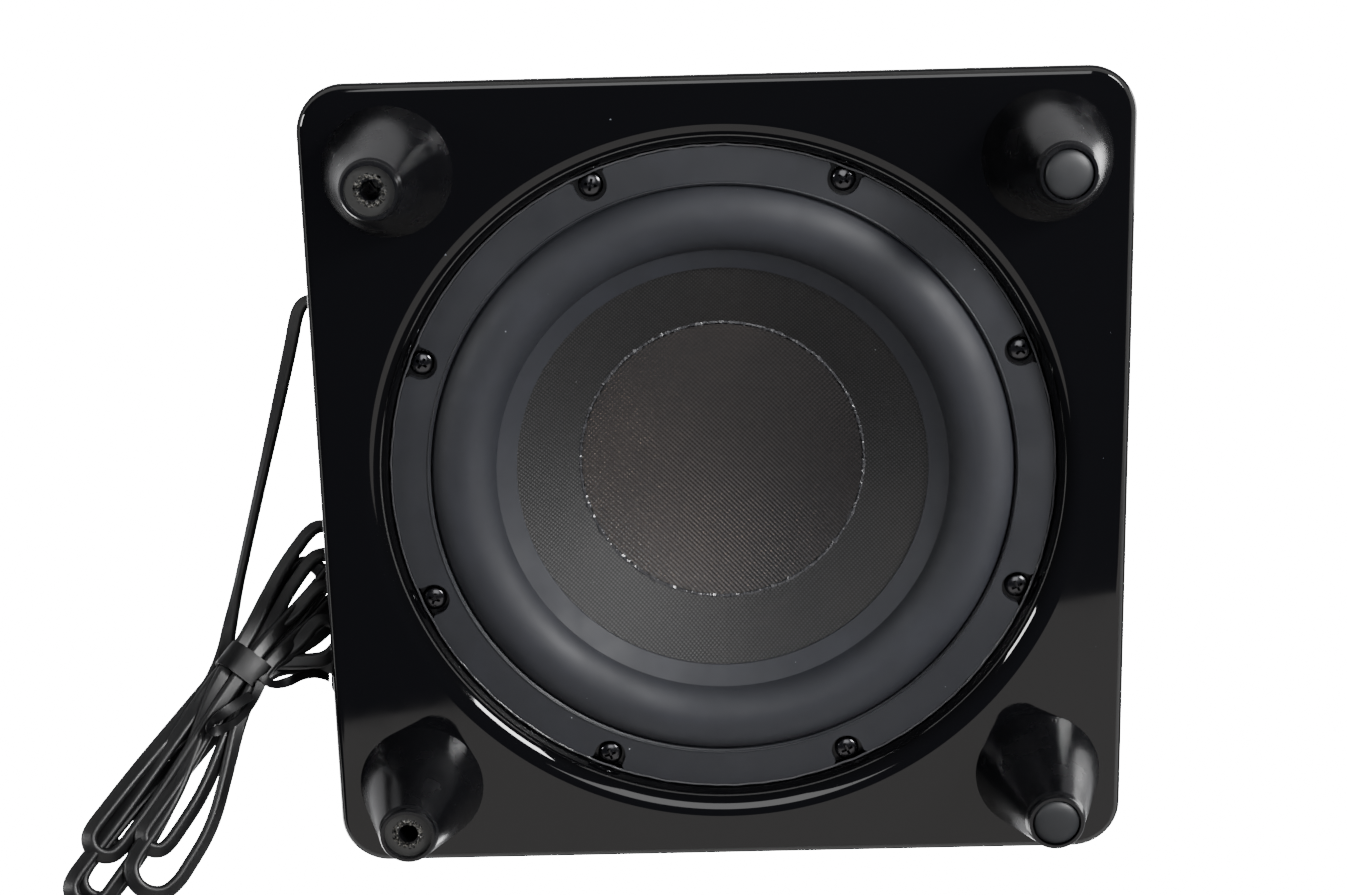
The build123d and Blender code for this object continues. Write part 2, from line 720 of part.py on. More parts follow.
def main_board():
    """Circuit board behind the panel."""
    with BuildPart() as board:
        with BuildSketch(rear_plane(FOAM - BOARD_GAP)):
            Rectangle(BOARD_W, BOARD_H)
            with Locations(*standoff_places()):
                Circle(STANDOFF_SCREW_R, mode=Mode.SUBTRACT)
            with Locations(TOROID_AT):
                Circle(TOROID_BOLT_R, mode=Mode.SUBTRACT)
        extrude(amount=-BOARD)
    return board.part


def standoffs():
    """Pillars between the panel and the circuit board, with their screws."""
    with BuildPart() as pillars:
        with BuildSketch(rear_plane(FOAM)):
            with Locations(*standoff_places()):
                Circle(STANDOFF_R)
        extrude(amount=-BOARD_GAP)
        with BuildSketch(rear_plane(PLATE_OUT)):
            with Locations(*standoff_places()):
                Circle(STANDOFF_SCREW_R)
        extrude(amount=-(PLATE_SHEET + BOARD_GAP + BOARD))
        with BuildSketch(rear_plane(PLATE_OUT)):
            with Locations(*standoff_places()):
                Circle(2.8)
        extrude(amount=1.6)
    return pillars.part


def toroid():
    """Mains transformer, wound on a ring core."""
    with BuildPart() as coil:
        with BuildSketch(rear_plane(FOAM - BOARD_GAP - BOARD)):
            with Locations(TOROID_AT):
                Circle(TOROID_R)
                Circle(12, mode=Mode.SUBTRACT)
        extrude(amount=-TOROID_H)
        fillet(coil.edges().filter_by(GeomType.CIRCLE), 4)
    return coil.part


def toroid_bolt():
    """Bolt and dished washer that hold the transformer to the panel."""
    back = FOAM - BOARD_GAP - BOARD - TOROID_H
    with BuildPart() as bolt:
        with BuildSketch(rear_plane(PLATE_OUT)):
            with Locations(TOROID_AT):
                Circle(3)
        extrude(amount=back - PLATE_OUT - 7)
        with BuildSketch(rear_plane(PLATE_OUT)):
            with Locations(TOROID_AT):
                Circle(5.5)
        extrude(amount=2.4)
        with BuildSketch(rear_plane(back)):
            with Locations(TOROID_AT):
                Circle(20)
        extrude(amount=-1.6)
        with BuildSketch(rear_plane(back - 1.6)):
            with Locations(TOROID_AT):
                RegularPolygon(5.8, 6)
        extrude(amount=-4)
    return bolt.part


def capacitors():
    """Two supply capacitors on the circuit board."""
    with BuildPart() as cans:
        with BuildSketch(rear_plane(FOAM - BOARD_GAP - BOARD)):
            with Locations(*CANS):
                Circle(CAN_R)
        extrude(amount=-CAN_H)
        fillet(cans.edges().filter_by(GeomType.CIRCLE).group_by(Axis.Y)[0], 1.5)
    return cans.part


def heat_sink():
    """Finned aluminium block for the output stage."""
    fins = 7
    with BuildPart() as sink:
        with BuildSketch(rear_plane(FOAM - BOARD_GAP - BOARD)):
            with Locations(SINK_AT):
                Rectangle(40, 56)
        extrude(amount=-4)
        with BuildSketch(rear_plane(FOAM - BOARD_GAP - BOARD - 4)):
            with Locations(SINK_AT):
                with GridLocations(6.3, 1, fins, 1):
                    Rectangle(1.6, 56)
        extrude(amount=-18)
    return sink.part


def pots():
    """The two rotary controls: a can behind the panel and a threaded bushing through it."""
    with BuildPart() as body:
        with BuildSketch(rear_plane(FOAM)):
            with Locations(*KNOBS.values()):
                Circle(POT_R)
        extrude(amount=-POT_DEPTH)
        with BuildSketch(rear_plane(FOAM)):
            with Locations(*KNOBS.values()):
                Circle(BUSHING_R)
        extrude(amount=PLATE_SHEET + NUT + 0.2)
        with BuildSketch(rear_plane(PLATE_OUT + NUT + 0.2)):
            with Locations(*KNOBS.values()):
                Circle(SHAFT_R + SHAFT_FIT)
        extrude(amount=-(PLATE_SHEET + NUT + POT_DEPTH - 2), mode=Mode.SUBTRACT)
    return body.part


def pot_nuts():
    """Hexagon nuts on the bushings of the two controls."""
    with BuildPart() as nuts:
        with BuildSketch(rear_plane(PLATE_OUT)):
            with Locations(*KNOBS.values()):
                RegularPolygon(NUT_FLATS / 2, 6, major_radius=False)
                Circle(BUSHING_R, mode=Mode.SUBTRACT)
        extrude(amount=NUT)
    return nuts.part


def shaft(place):
    """Shaft of a control, turning in the bushing."""
    start = FOAM - POT_DEPTH + 2.6
    end = PLATE_OUT + NUT + KNOB_GAP + KNOB_H - 3
    with BuildPart() as rod:
        with BuildSketch(rear_plane(start)):
            with Locations(place):
                Circle(SHAFT_R)
        extrude(amount=end - start)
    return rod.part


def knob(place):
    """Ribbed knob with a pointer line, pressed on the shaft."""
    base = PLATE_OUT + NUT + KNOB_GAP
    ribs = 24
    with BuildPart() as body:
        with BuildSketch(rear_plane(base)):
            with Locations(place):
                Circle(KNOB_R)
        extrude(amount=KNOB_H, taper=2)
        fillet(body.edges().filter_by(GeomType.CIRCLE).group_by(Axis.Y)[-1], 1.0)
        with BuildSketch(rear_plane(base + 2)):
            with Locations(place):
                with PolarLocations(KNOB_R + 0.1, ribs):
                    Circle(0.55)
        extrude(amount=KNOB_H, mode=Mode.SUBTRACT)
        with BuildSketch(rear_plane(base + KNOB_H)):
            with Locations((place[0], place[1] + KNOB_R / 2)):
                Rectangle(1.0, KNOB_R - 2)
        extrude(amount=-0.6, mode=Mode.SUBTRACT)
        with BuildSketch(rear_plane(base)):
            with Locations(place):
                Circle(SHAFT_R)
        extrude(amount=KNOB_H - 3, mode=Mode.SUBTRACT)
    return body.part


def slide_switches():
    """Bodies of the two slide switches, behind their slots in the panel."""
    with BuildPart() as body:
        with BuildSketch(rear_plane(FOAM)):
            with Locations(*SLIDERS.values()):
                Rectangle(SLOT_W + 8, SLOT_H + 4)
        extrude(amount=-8)
        with BuildSketch(rear_plane(FOAM)):
            with Locations(*SLIDERS.values()):
                Rectangle(SLOT_W, SLOT_H)
        extrude(amount=-5, mode=Mode.SUBTRACT)
    return body.part


def slide_lever(place):
    """Lever of a slide switch, resting at one end of its slot."""
    with BuildPart() as lever:
        with BuildSketch(rear_plane(FOAM - 4.8)):
            with Locations((place[0] - LEVER_TRAVEL / 2, place[1])):
                Rectangle(LEVER, LEVER)
        extrude(amount=4.8 + PLATE_SHEET + 2)
    return lever.part


def rocker_bezel():
    """Frame and body of the mains switch."""
    with BuildPart() as bezel:
        with BuildSketch(rear_plane(PLATE_OUT)):
            with Locations(ROCKER):
                RectangleRounded(BEZEL_W, BEZEL_H, BEZEL_EDGE)
        extrude(amount=BEZEL_OUT)
        with BuildSketch(rear_plane(PLATE_OUT)):
            with Locations(ROCKER):
                Rectangle(BEZEL_W - 2 * BEZEL_EDGE, BEZEL_H - 2 * BEZEL_EDGE)
        extrude(amount=-BEZEL_DEEP)
        with BuildSketch(rear_plane(PLATE_OUT + BEZEL_OUT)):
            with Locations(ROCKER):
                Rectangle(ROCKER_W + 2 * ROCKER_CLEAR, 2 * (ROCKER_R + ROCKER_CLEAR))
        extrude(amount=1 - BEZEL_DEEP, mode=Mode.SUBTRACT)
    return bezel.part


def rocker():
    """Rocking button: a drum about its pivot with a shallow V for a face, tilted to off."""
    pivot_y = SIZE / 2 + FOAM - ROCKER_SUNK
    pivot_z = PLATE_Z + ROCKER[1]
    face = pivot_y + 0.45 * ROCKER_R
    end = pivot_y + 0.61 * ROCKER_R
    back = pivot_y - 0.6 * ROCKER_R
    reach = 0.8 * ROCKER_R
    with BuildPart() as button:
        with BuildSketch(Plane(origin=(-ROCKER[0] - ROCKER_W / 2, 0, 0), x_dir=(0, 1, 0), z_dir=(1, 0, 0))):
            with Locations((pivot_y, pivot_z)):
                Circle(ROCKER_R)
            with BuildLine(mode=Mode.PRIVATE) as outline:
                Polyline(
                    (back, pivot_z - ROCKER_R), (end, pivot_z - ROCKER_R), (end, pivot_z - reach),
                    (face, pivot_z), (end, pivot_z + reach), (end, pivot_z + ROCKER_R),
                    (back, pivot_z + ROCKER_R), close=True,
                )
            make_face(outline.line.edges(), mode=Mode.INTERSECT)
        extrude(amount=ROCKER_W)
    return button.part.rotate(Axis((0, pivot_y, pivot_z), (1, 0, 0)), -ROCKER_TILT)


def jack_cores():
    """Insulators of the three line input sockets, each with its pin hole."""
    with BuildPart() as cores:
        with BuildSketch(rear_plane(PLATE_OUT)):
            with Locations(*JACKS):
                Circle(JACK_SHELL_R + JACK_WALL)
        extrude(amount=-12)
        with BuildSketch(rear_plane(PLATE_OUT)):
            with Locations(*JACKS):
                Circle(JACK_SHELL_R + JACK_WALL + 1)
        extrude(amount=JACK_FLANGE)
        with BuildSketch(rear_plane(PLATE_OUT + JACK_FLANGE)):
            with Locations(*JACKS):
                Circle(JACK_CORE_R)
        extrude(amount=JACK_OUT - JACK_FLANGE - 0.5)
        with BuildSketch(rear_plane(PLATE_OUT + JACK_OUT)):
            with Locations(*JACKS):
                Circle(JACK_BORE_R)
        extrude(amount=-16, mode=Mode.SUBTRACT)
    return cores.part


def jack_shells():
    """Plated outer contacts of the line input sockets."""
    with BuildPart() as shells:
        with BuildSketch(rear_plane(PLATE_OUT + JACK_FLANGE)):
            with Locations(*JACKS):
                Circle(JACK_SHELL_R)
                Circle(JACK_CORE_R, mode=Mode.SUBTRACT)
        extrude(amount=JACK_OUT - JACK_FLANGE)
    return shells.part


def lamp():
    """Status lamp pushed through the panel."""
    with BuildPart() as lens:
        with BuildSketch(rear_plane(FOAM - 4)):
            with Locations(LAMP):
                Circle(LAMP_R)
        extrude(amount=PLATE_SHEET + 4 + LAMP_OUT)
        fillet(lens.edges().filter_by(GeomType.CIRCLE).group_by(Axis.Y)[-1], 1.5)
    return lens.part


def gland():
    """Strain relief: a tapered boot for the flat cord and its catch behind the panel."""
    with BuildPart() as boot:
        with BuildSketch(rear_plane(PLATE_OUT)):
            with Locations(GLAND):
                RectangleRounded(17, 13, 3)
        extrude(amount=2)
        with BuildSketch(rear_plane(PLATE_OUT)):
            with Locations(GLAND):
                RectangleRounded(13, 9, 2)
        extrude(amount=-10)
        with BuildSketch(rear_plane(PLATE_OUT + 2)):
            with Locations(GLAND):
                RectangleRounded(12, 9, 3)
        with BuildSketch(rear_plane(PLATE_OUT + BOOT)):
            with Locations(GLAND):
                RectangleRounded(8.4, 5.8, 2)
        loft()
    return boot.part


def speaker_wires():
    """Twin lead from the circuit board to the driver's tabs."""
    board_y = SIZE / 2 + FOAM - BOARD_GAP - BOARD
    tab_z = depth(SPIDER_DEPTH + SHEET + 8)
    with BuildPart() as wires:
        for x in (-6.0, 6.0):
            far_x = WIRE_X + x / 2
            points = [
                (x, NECK_R + 12, tab_z), (x, NECK_R + 19, tab_z), (x + 8, NECK_R + 21, tab_z + 12),
                (x + 24, NECK_R + 18, tab_z + 40), (far_x, NECK_R + 30, tab_z + 68),
                (far_x, board_y - 10, tab_z + 74), (far_x, board_y, tab_z + 74),
            ]
            with BuildLine():
                route = FilletPolyline(*points, radius=bend_radii(points))
            with BuildSketch(Plane(origin=route @ 0, z_dir=route % 0)):
                Circle(1.1)
            sweep(path=route)
    return wires.part


# Cord


def hank_axes():
    """Unit vectors of the leaning hank: along it, across it and out of its flat side."""
    along = (HANK_HEAD - HANK_FOOT).normalized()
    across = Vector(-along.Y, along.X, 0).normalized()
    return along, across, across.cross(along)


def hank_plane(out):
    """The hank's own plane, moved out from its middle."""
    along, across, up = hank_axes()
    return Plane(origin=HANK_FOOT + up * out, x_dir=along, z_dir=up)


def hank():
    """Outer shape of the tied loops, leaning from the floor to the rear wall."""
    half = HANK_WAIST / 2
    tie_end = TIE_FROM_FOOT + TIE_W
    with BuildPart() as bundle:
        with BuildSketch(hank_plane(-HANK_THICK / 2)) as outline:
            with BuildLine():
                Polyline(
                    (-6, -6), (30, -10), (TIE_FROM_FOOT, -half), (tie_end, -half), (124, -13), (168, -14),
                    (168, 16), (124, 22), (tie_end, half), (TIE_FROM_FOOT, half), (50, 22), (30, 30),
                    (14, 30), (-6, 8), close=True,
                )
            make_face()
            ends = outline.vertices().filter_by(lambda v: not on_tie(v))
            fillet(ends, 4)
        extrude(amount=HANK_THICK)
        split(bisect_by=Plane.XY.offset(0.3), keep=Keep.TOP)
        split(bisect_by=Plane(origin=(0, SIZE / 2 + 0.6, 0), z_dir=(0, 1, 0)), keep=Keep.TOP)
    return bundle.part


def on_tie(vertex):
    """Whether a corner of the hank's outline is at an edge of the tie."""
    along = (Vector(vertex) - HANK_FOOT).dot(hank_axes()[0])
    return TIE_FROM_FOOT - 1 < along < TIE_FROM_FOOT + TIE_W + 1


def cord_tie():
    """Flat strip wrapped round the hank."""
    wall = 1.2
    with BuildPart() as strip:
        with BuildSketch(hank_plane(0)):
            with Locations((TIE_FROM_FOOT + TIE_W / 2, 0)):
                Rectangle(TIE_W - 1, HANK_WAIST + 2 * wall)
        extrude(amount=HANK_THICK / 2 + wall, both=True)
        with BuildSketch(hank_plane(0)):
            with Locations((TIE_FROM_FOOT + TIE_W / 2, 0)):
                Rectangle(TIE_W, HANK_WAIST)
        extrude(amount=HANK_THICK / 2, both=True, mode=Mode.SUBTRACT)
    return strip.part


def bend_radii(points):
    """Arc radius at each corner: 0.45 of the shorter run over the tangent of half the turn."""
    corners = [Vector(*p) for p in points]
    radii = []
    for a, b, c in zip(corners, corners[1:], corners[2:]):
        turn = (b - a).get_angle(c - b)
        shorter = min((b - a).length, (c - b).length)
        radii.append(0.45 * shorter / tan(radians(turn / 2)))
    return radii


def cord(points, across):
    """Flat cord along a route, its width lying across the first run."""
    radii = bend_radii(points)
    with BuildPart() as body:
        with BuildLine():
            route = FilletPolyline(*points, radius=radii)
        with BuildSketch(Plane(origin=route @ 0, x_dir=across, z_dir=route % 0)):
            SlotOverall(CORD_W, CORD_T)
        sweep(path=route)
    area = (CORD_W - CORD_T) * CORD_T + pi * CORD_T ** 2 / 4
    print("cord radii", [round(r, 1) for r in radii], "length", round(route.length, 1))
    print("cord volume over section times length", round(body.part.volume / (area * route.length), 4))
    return body.part


def plug_plane(out):
    """A plane across the plug's axis, its X along the plug's width."""
    start = Vector(*TAIL_ROUTE[-1])
    axis = (start - Vector(*TAIL_ROUTE[-2])).normalized()
    width = Vector(0, 1, 0).cross(axis).normalized()
    return Plane(origin=start + axis * out, x_dir=width, z_dir=axis)


def plug_body():
    """Slim two-pin plug with its tapered relief."""
    width, thick, length = PLUG_BODY
    with BuildPart() as body:
        with BuildSketch(plug_plane(0)):
            RectangleRounded(7.6, 5.2, 2)
        with BuildSketch(plug_plane(PLUG_RELIEF)):
            RectangleRounded(width * 0.6, thick * 0.8, 2.5)
        loft()
        with BuildSketch(plug_plane(PLUG_RELIEF)):
            RectangleRounded(width, thick, 3)
        extrude(amount=length)
    return body.part


def plug_blades():
    """Two flat blades."""
    width, thick, length = BLADE
    with BuildPart() as blades:
        with BuildSketch(plug_plane(PLUG_RELIEF + PLUG_BODY[2])):
            with Locations((-BLADE_PITCH / 2, 0), (BLADE_PITCH / 2, 0)):
                Rectangle(thick, width)
        extrude(amount=length)
    return blades.part


os.makedirs("parts", exist_ok=True)

save(bottom_panel(), "bottom_panel")
save(cabinet_sleeve(), "cabinet_sleeve")
save(top_panel(), "top_panel")
save(cross_brace(), "cross_brace")
save(glue_blocks(), "glue_blocks")
save(wadding(), "wadding")

for corner_name, (foot_x, foot_y) in FEET.items():
    save(foot(foot_x, foot_y), f"foot_{corner_name}")
save(foot_pads(), "foot_pads")
save(foot_screws(), "foot_screws")

save(basket(), "basket")
save(seal(), "basket_seal")
save(gasket_ring(), "gasket_ring")
save(driver_screws(), "driver_screws")
save(surround(), "surround")
save(cone(), "cone")
save(dust_cap(), "dust_cap")
save(cap_bead(), "cap_bead")
save(ring(COIL_INNER_R, FORMER_R, depth(cone_depth(FORMER_R)), COIL_TOP), "coil_former")
save(ring(FORMER_R, WINDING_R, depth(WINDING_DEPTH), COIL_TOP), "voice_coil")
save(ring(FORMER_R, SPIDER_R - 0.5, depth(SPIDER_DEPTH - RUBBER), depth(SPIDER_DEPTH)), "spider")
save(ring(WINDING_R + GAP, PLATE_R, depth(PLATE_DEPTH), MAGNET_Z), "front_plate")
save(ring(WINDING_R + MAGNET_BORE_CLEAR, MAGNET_R, MAGNET_Z, MAGNET_Z + MAGNET_THICK), "magnet")
save(magnet_yoke(), "magnet_yoke")
save(terminal_board(), "terminal_board")
save(terminal_tabs(), "terminal_tabs")
save(speaker_wires(), "speaker_wires")

save(amp_plate(), "amp_plate")
save(amp_foam(), "amp_foam")
save(amp_screws(), "amp_screws")
save(main_board(), "main_board")
save(standoffs(), "standoffs")
save(toroid(), "transformer")
save(toroid_bolt(), "transformer_bolt")
save(capacitors(), "capacitors")
save(heat_sink(), "heat_sink")
for control, control_place in KNOBS.items():
    save(shaft(control_place), f"{control}_shaft")
    save(knob(control_place), f"{control}_knob")
save(pots(), "pots")
save(pot_nuts(), "pot_nuts")
save(slide_switches(), "slide_switches")
for switch, switch_place in SLIDERS.items():
    save(slide_lever(switch_place), f"{switch}_lever")
save(rocker_bezel(), "power_bezel")
save(rocker(), "power_rocker")
save(jack_cores(), "jack_cores")
save(jack_shells(), "jack_shells")
save(lamp(), "status_lamp")

save(gland(), "cord_gland")
save(cord(LEAD_ROUTE, Vector(1, 0, 0)), "cord_lead")
save(hank(), "cord_hank")
save(cord_tie(), "cord_tie")
save(cord(TAIL_ROUTE, Vector(1, 0, 0.3)), "cord_tail")
save(plug_body(), "plug_body")
save(plug_blades(), "plug_blades")
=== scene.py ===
import bpy, bmesh, json, math
from mathutils import Matrix, Vector, noise


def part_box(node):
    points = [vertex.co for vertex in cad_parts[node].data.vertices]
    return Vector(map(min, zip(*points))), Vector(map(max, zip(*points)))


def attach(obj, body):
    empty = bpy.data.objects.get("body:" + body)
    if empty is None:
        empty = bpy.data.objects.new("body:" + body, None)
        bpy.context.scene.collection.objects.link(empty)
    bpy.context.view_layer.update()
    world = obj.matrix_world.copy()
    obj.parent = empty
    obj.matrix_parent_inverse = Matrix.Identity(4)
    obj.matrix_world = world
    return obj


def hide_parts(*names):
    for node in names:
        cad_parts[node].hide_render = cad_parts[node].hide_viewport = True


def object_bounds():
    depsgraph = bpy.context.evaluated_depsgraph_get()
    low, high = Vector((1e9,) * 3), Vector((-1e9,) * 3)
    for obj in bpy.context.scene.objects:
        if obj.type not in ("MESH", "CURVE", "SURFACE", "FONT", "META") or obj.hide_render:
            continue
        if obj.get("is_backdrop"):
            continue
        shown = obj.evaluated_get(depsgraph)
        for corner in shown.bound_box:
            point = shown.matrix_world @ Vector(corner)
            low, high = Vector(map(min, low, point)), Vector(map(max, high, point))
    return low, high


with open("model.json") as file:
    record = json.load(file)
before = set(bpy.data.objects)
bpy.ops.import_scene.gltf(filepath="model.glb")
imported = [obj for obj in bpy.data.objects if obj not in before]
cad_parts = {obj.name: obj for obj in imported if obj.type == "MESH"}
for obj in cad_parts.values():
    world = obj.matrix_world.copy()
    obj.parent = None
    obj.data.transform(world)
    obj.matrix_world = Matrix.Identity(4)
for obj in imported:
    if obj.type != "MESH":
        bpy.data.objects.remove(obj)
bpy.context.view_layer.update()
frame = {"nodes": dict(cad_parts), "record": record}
nodes = frame["nodes"]
MM = 0.001

# The driver's axis stands a little off the frame's middle.
AXIS_Y = sum(corner[1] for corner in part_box("dust_cap")) / 2


def at(x, y, z):
    """A point given in millimetres about the driver's axis."""
    return Vector((x * MM, y * MM + AXIS_Y, z * MM))


# Camera: under the cabinet, looking up at the driver

camera = bpy.data.objects.new("camera", bpy.data.cameras.new("camera"))
bpy.context.scene.collection.objects.link(camera)
right = Vector((0.0253, -0.9997, 0.0056))
up = Vector((-0.9667, -0.0230, 0.2550))
back = Vector((-0.2548, -0.0118, -0.9669))
turn = Matrix((right, up, back)).transposed().to_quaternion().to_matrix().to_4x4()
camera.matrix_world = Matrix.Translation(at(-201.7, 7.3, -675.9)) @ turn
camera.data.sensor_width = 36.0
camera.data.lens = 60.56
camera.data.clip_start = 0.01
bpy.context.scene.camera = camera


# Materials

def linear(code):
    """A colour as the shader wants it, from its usual six-figure code."""
    parts = [int(code[i:i + 2], 16) / 255 for i in (0, 2, 4)]
    return (*[c / 12.92 if c <= 0.04045 else ((c + 0.055) / 1.055) ** 2.4 for c in parts], 1.0)


class Finish:
    """A material under construction: one shader and the nodes that give it its surface."""

    def __init__(self, name, colour, roughness, **sockets):
        self.material = bpy.data.materials.new(name)
        self.material.use_nodes = True
        self.tree = self.material.node_tree
        self.shader = self.tree.nodes["Principled BSDF"]
        self.colour = linear(colour)
        self.shader.inputs["Base Color"].default_value = self.colour
        self.shader.inputs["Roughness"].default_value = roughness
        for socket, value in sockets.items():
            self.shader.inputs[socket.replace("_", " ")].default_value = value
        self.height = None

    def add(self, kind, inputs=(), **settings):
        """One node with its settings, and its inputs set or linked."""
        made = self.tree.nodes.new("ShaderNode" + kind)
        for key, value in settings.items():
            setattr(made, key, value)
        for key, value in dict(inputs).items():
            if isinstance(value, bpy.types.NodeSocket):
                self.tree.links.new(value, made.inputs[key])
            else:
                made.inputs[key].default_value = value
        return made

    def place(self, scale=(1, 1, 1), centre=(0, 0, 0)):
        """Object coordinates, centred on a point and stretched."""
        source = self.add("TexCoord").outputs["Object"]
        shifted = self.add("VectorMath", {0: source, 1: centre}, operation="SUBTRACT").outputs[0]
        return self.add("VectorMath", {0: shifted, 1: scale}, operation="MULTIPLY").outputs[0]

    def mottle(self, size_mm, detail=3, rough=0.55, stretch=(1, 1, 1)):
        """Noise with features of about that size."""
        return self.add("TexNoise", {"Vector": self.place(stretch), "Scale": 1 / (size_mm * MM),
                                     "Detail": detail, "Roughness": rough}).outputs["Fac"]

    def span(self, value, low, high, to_low=0.0, to_high=1.0):
        """A value's range moved to another range."""
        return self.add("MapRange", {"Value": value, "From Min": low, "From Max": high, "To Min": to_low,
                                     "To Max": to_high}).outputs[0]

    def math(self, operation, a, b=0.0):
        """The result of one sum on two values."""
        return self.add("Math", {0: a, 1: b}, operation=operation).outputs[0]

    def tint(self, factor, colour):
        """Mix another colour in where factor is 1."""
        socket = self.shader.inputs["Base Color"]
        mixed = self.add("Mix", {0: factor, 7: linear(colour)}, data_type="RGBA")
        if socket.is_linked:
            self.tree.links.new(socket.links[0].from_socket, mixed.inputs[6])
        else:
            mixed.inputs[6].default_value = self.colour
        self.tree.links.new(mixed.outputs[2], socket)
        return self

    def sheen_off(self, value, low, high, rough_low, rough_high):
        """Roughness that follows a pattern."""
        roughness = self.span(value, low, high, rough_low, rough_high)
        self.tree.links.new(roughness, self.shader.inputs["Roughness"])
        return self

    def relief(self, value, depth_mm, strength=1.0):
        """Bump from a height pattern, added to any before it."""
        inputs = {"Height": value, "Distance": depth_mm * MM, "Strength": strength}
        if self.height:
            inputs["Normal"] = self.height
        self.height = self.add("Bump", inputs).outputs[0]
        self.tree.links.new(self.height, self.shader.inputs["Normal"])
        return self

    def specks(self, spacing_mm, share, size, colour):
        """Scattered dust: small dull dots on the surface."""
        cells = self.add("TexVoronoi", {"Vector": self.place(), "Scale": 1 / (spacing_mm * MM)})
        chance = self.add("SeparateColor", {0: cells.outputs["Color"]})
        near = self.math("LESS_THAN", cells.outputs["Distance"],
                         self.math("MULTIPLY", chance.outputs[1], size))
        here = self.math("LESS_THAN", chance.outputs[0], share)
        return self.tint(self.math("MULTIPLY", near, here), colour)


def gloss_lacquer():
    """Sprayed polyester lacquer, polished: a black mirror with faint orange peel, scratches and dust."""
    finish = Finish("gloss_lacquer", "050506", 0.04)
    finish.sheen_off(finish.mottle(35), 0.35, 0.75, 0.02, 0.07)
    finish.relief(finish.mottle(16, 1), 0.02, 0.05)
    scratch = finish.mottle(0.5, 2, 0.6, (0.02, 1, 1))
    finish.relief(finish.span(scratch, 0.72, 0.76), 0.01, 0.25)
    return finish.specks(6, 0.16, 0.05, "5c6066").specks(19, 0.35, 0.032, "8a8d92").material


def woven(name, pitch_mm, colour, raised, glow, dull=0.68):
    """Two crossed sets of threads under a resin film: dark, with paler knots and a patchy glow.

    The pattern repeats after two threads, so the threads lie half of the pitch apart. A thread's own
    fibres are finer than the 0.25 mm that they are drawn at, so that they show.
    """
    finish = Finish(name, colour, 0.42)
    place = finish.place((1 / (pitch_mm * MM),) * 3)
    axes = finish.add("SeparateXYZ", {0: place})
    across = finish.math("SINE", finish.math("MULTIPLY", axes.outputs[0], math.tau))
    along = finish.math("SINE", finish.math("MULTIPLY", axes.outputs[1], math.tau))
    knots = finish.math("MULTIPLY", across, along)
    fibre = finish.mottle(0.25, 2)
    height = finish.math("ADD", knots, finish.math("MULTIPLY", fibre, 0.5))
    finish.relief(height, 0.08, 0.8)
    finish.tint(finish.span(knots, 0.1, 0.9), raised)
    finish.tint(finish.span(finish.mottle(60, 2), 0.45, 0.75, 0.0, 0.35), glow)
    finish.sheen_off(knots, -1, 1, dull, dull - 0.14)
    return finish.specks(5, 0.1, 0.05, "8a8c8e").material


def grained(name, colour, roughness, grain_mm, depth_mm, wear=None, dust=True, **sockets):
    """Moulded or coated surface: a fine grain, uneven sheen and a little dust.

    Such a grain is often near 0.1 mm across, too fine to show. It is drawn at 0.2 mm or more.
    """
    finish = Finish(name, colour, roughness, **sockets)
    finish.relief(finish.mottle(grain_mm, 2), depth_mm, 0.5)
    finish.sheen_off(finish.mottle(14), 0.35, 0.7, roughness - 0.05, roughness + 0.08)
    if wear:
        finish.tint(finish.span(finish.mottle(18, 4), 0.5, 0.72, 0.0, 0.6), wear)
    if dust:
        finish.specks(4, 0.09, 0.06, "85888d")
    return finish.material


def plated(name, colour, roughness, lines_mm=0.15):
    """Bare or plated metal: a tinted mirror, blurred by fine lines that are drawn coarse to show."""
    finish = Finish(name, colour, roughness, Metallic=1.0)
    finish.relief(finish.mottle(lines_mm, 2, 0.6, (1, 0.08, 1)), 0.01, 0.4)
    finish.sheen_off(finish.mottle(4), 0.3, 0.7, roughness - 0.06, roughness + 0.1)
    return finish.material


def fibreboard():
    """Medium density fibreboard, sawn: dry, brown and faintly furry."""
    finish = Finish("bare_fibreboard", "8d6a47", 0.85)
    finish.tint(finish.mottle(0.8, 5), "6d4d30")
    return finish.relief(finish.mottle(0.5, 4), 0.15, 0.6).material


def soft(name, colour, other, fibre_mm):
    """Foam, felt or cloth: fully dull, with fibres or cells of about that size."""
    finish = Finish(name, colour, 0.95)
    finish.tint(finish.mottle(fibre_mm * 4, 4), other)
    return finish.relief(finish.mottle(fibre_mm, 5), 0.4, 0.8).material


def wound(name, colour, other, pitch_mm, roughness):
    """Turns of wire or tape round the Z axis: bands of two tones with a groove between them."""
    finish = Finish(name, colour, roughness)
    wave_pitch = 0.314  # a wave texture's own pitch at scale 1
    turns = finish.add("TexWave", {"Vector": finish.place(), "Scale": wave_pitch / (pitch_mm * MM)},
                       bands_direction="Z").outputs["Fac"]
    finish.tint(turns, other)
    return finish.relief(turns, 0.1, 0.6).material


def crumbled_glue():
    """Rubber glue torn off and dried: dark film with pale crumbs about a millimetre across."""
    finish = Finish("dried_glue_crumbs", "181817", 0.25)
    crumbs = finish.mottle(0.9, 4)
    finish.tint(finish.span(crumbs, 0.50, 0.66, 0.0, 0.8), "6e6c66")
    return finish.relief(crumbs, 0.5, 0.8).material


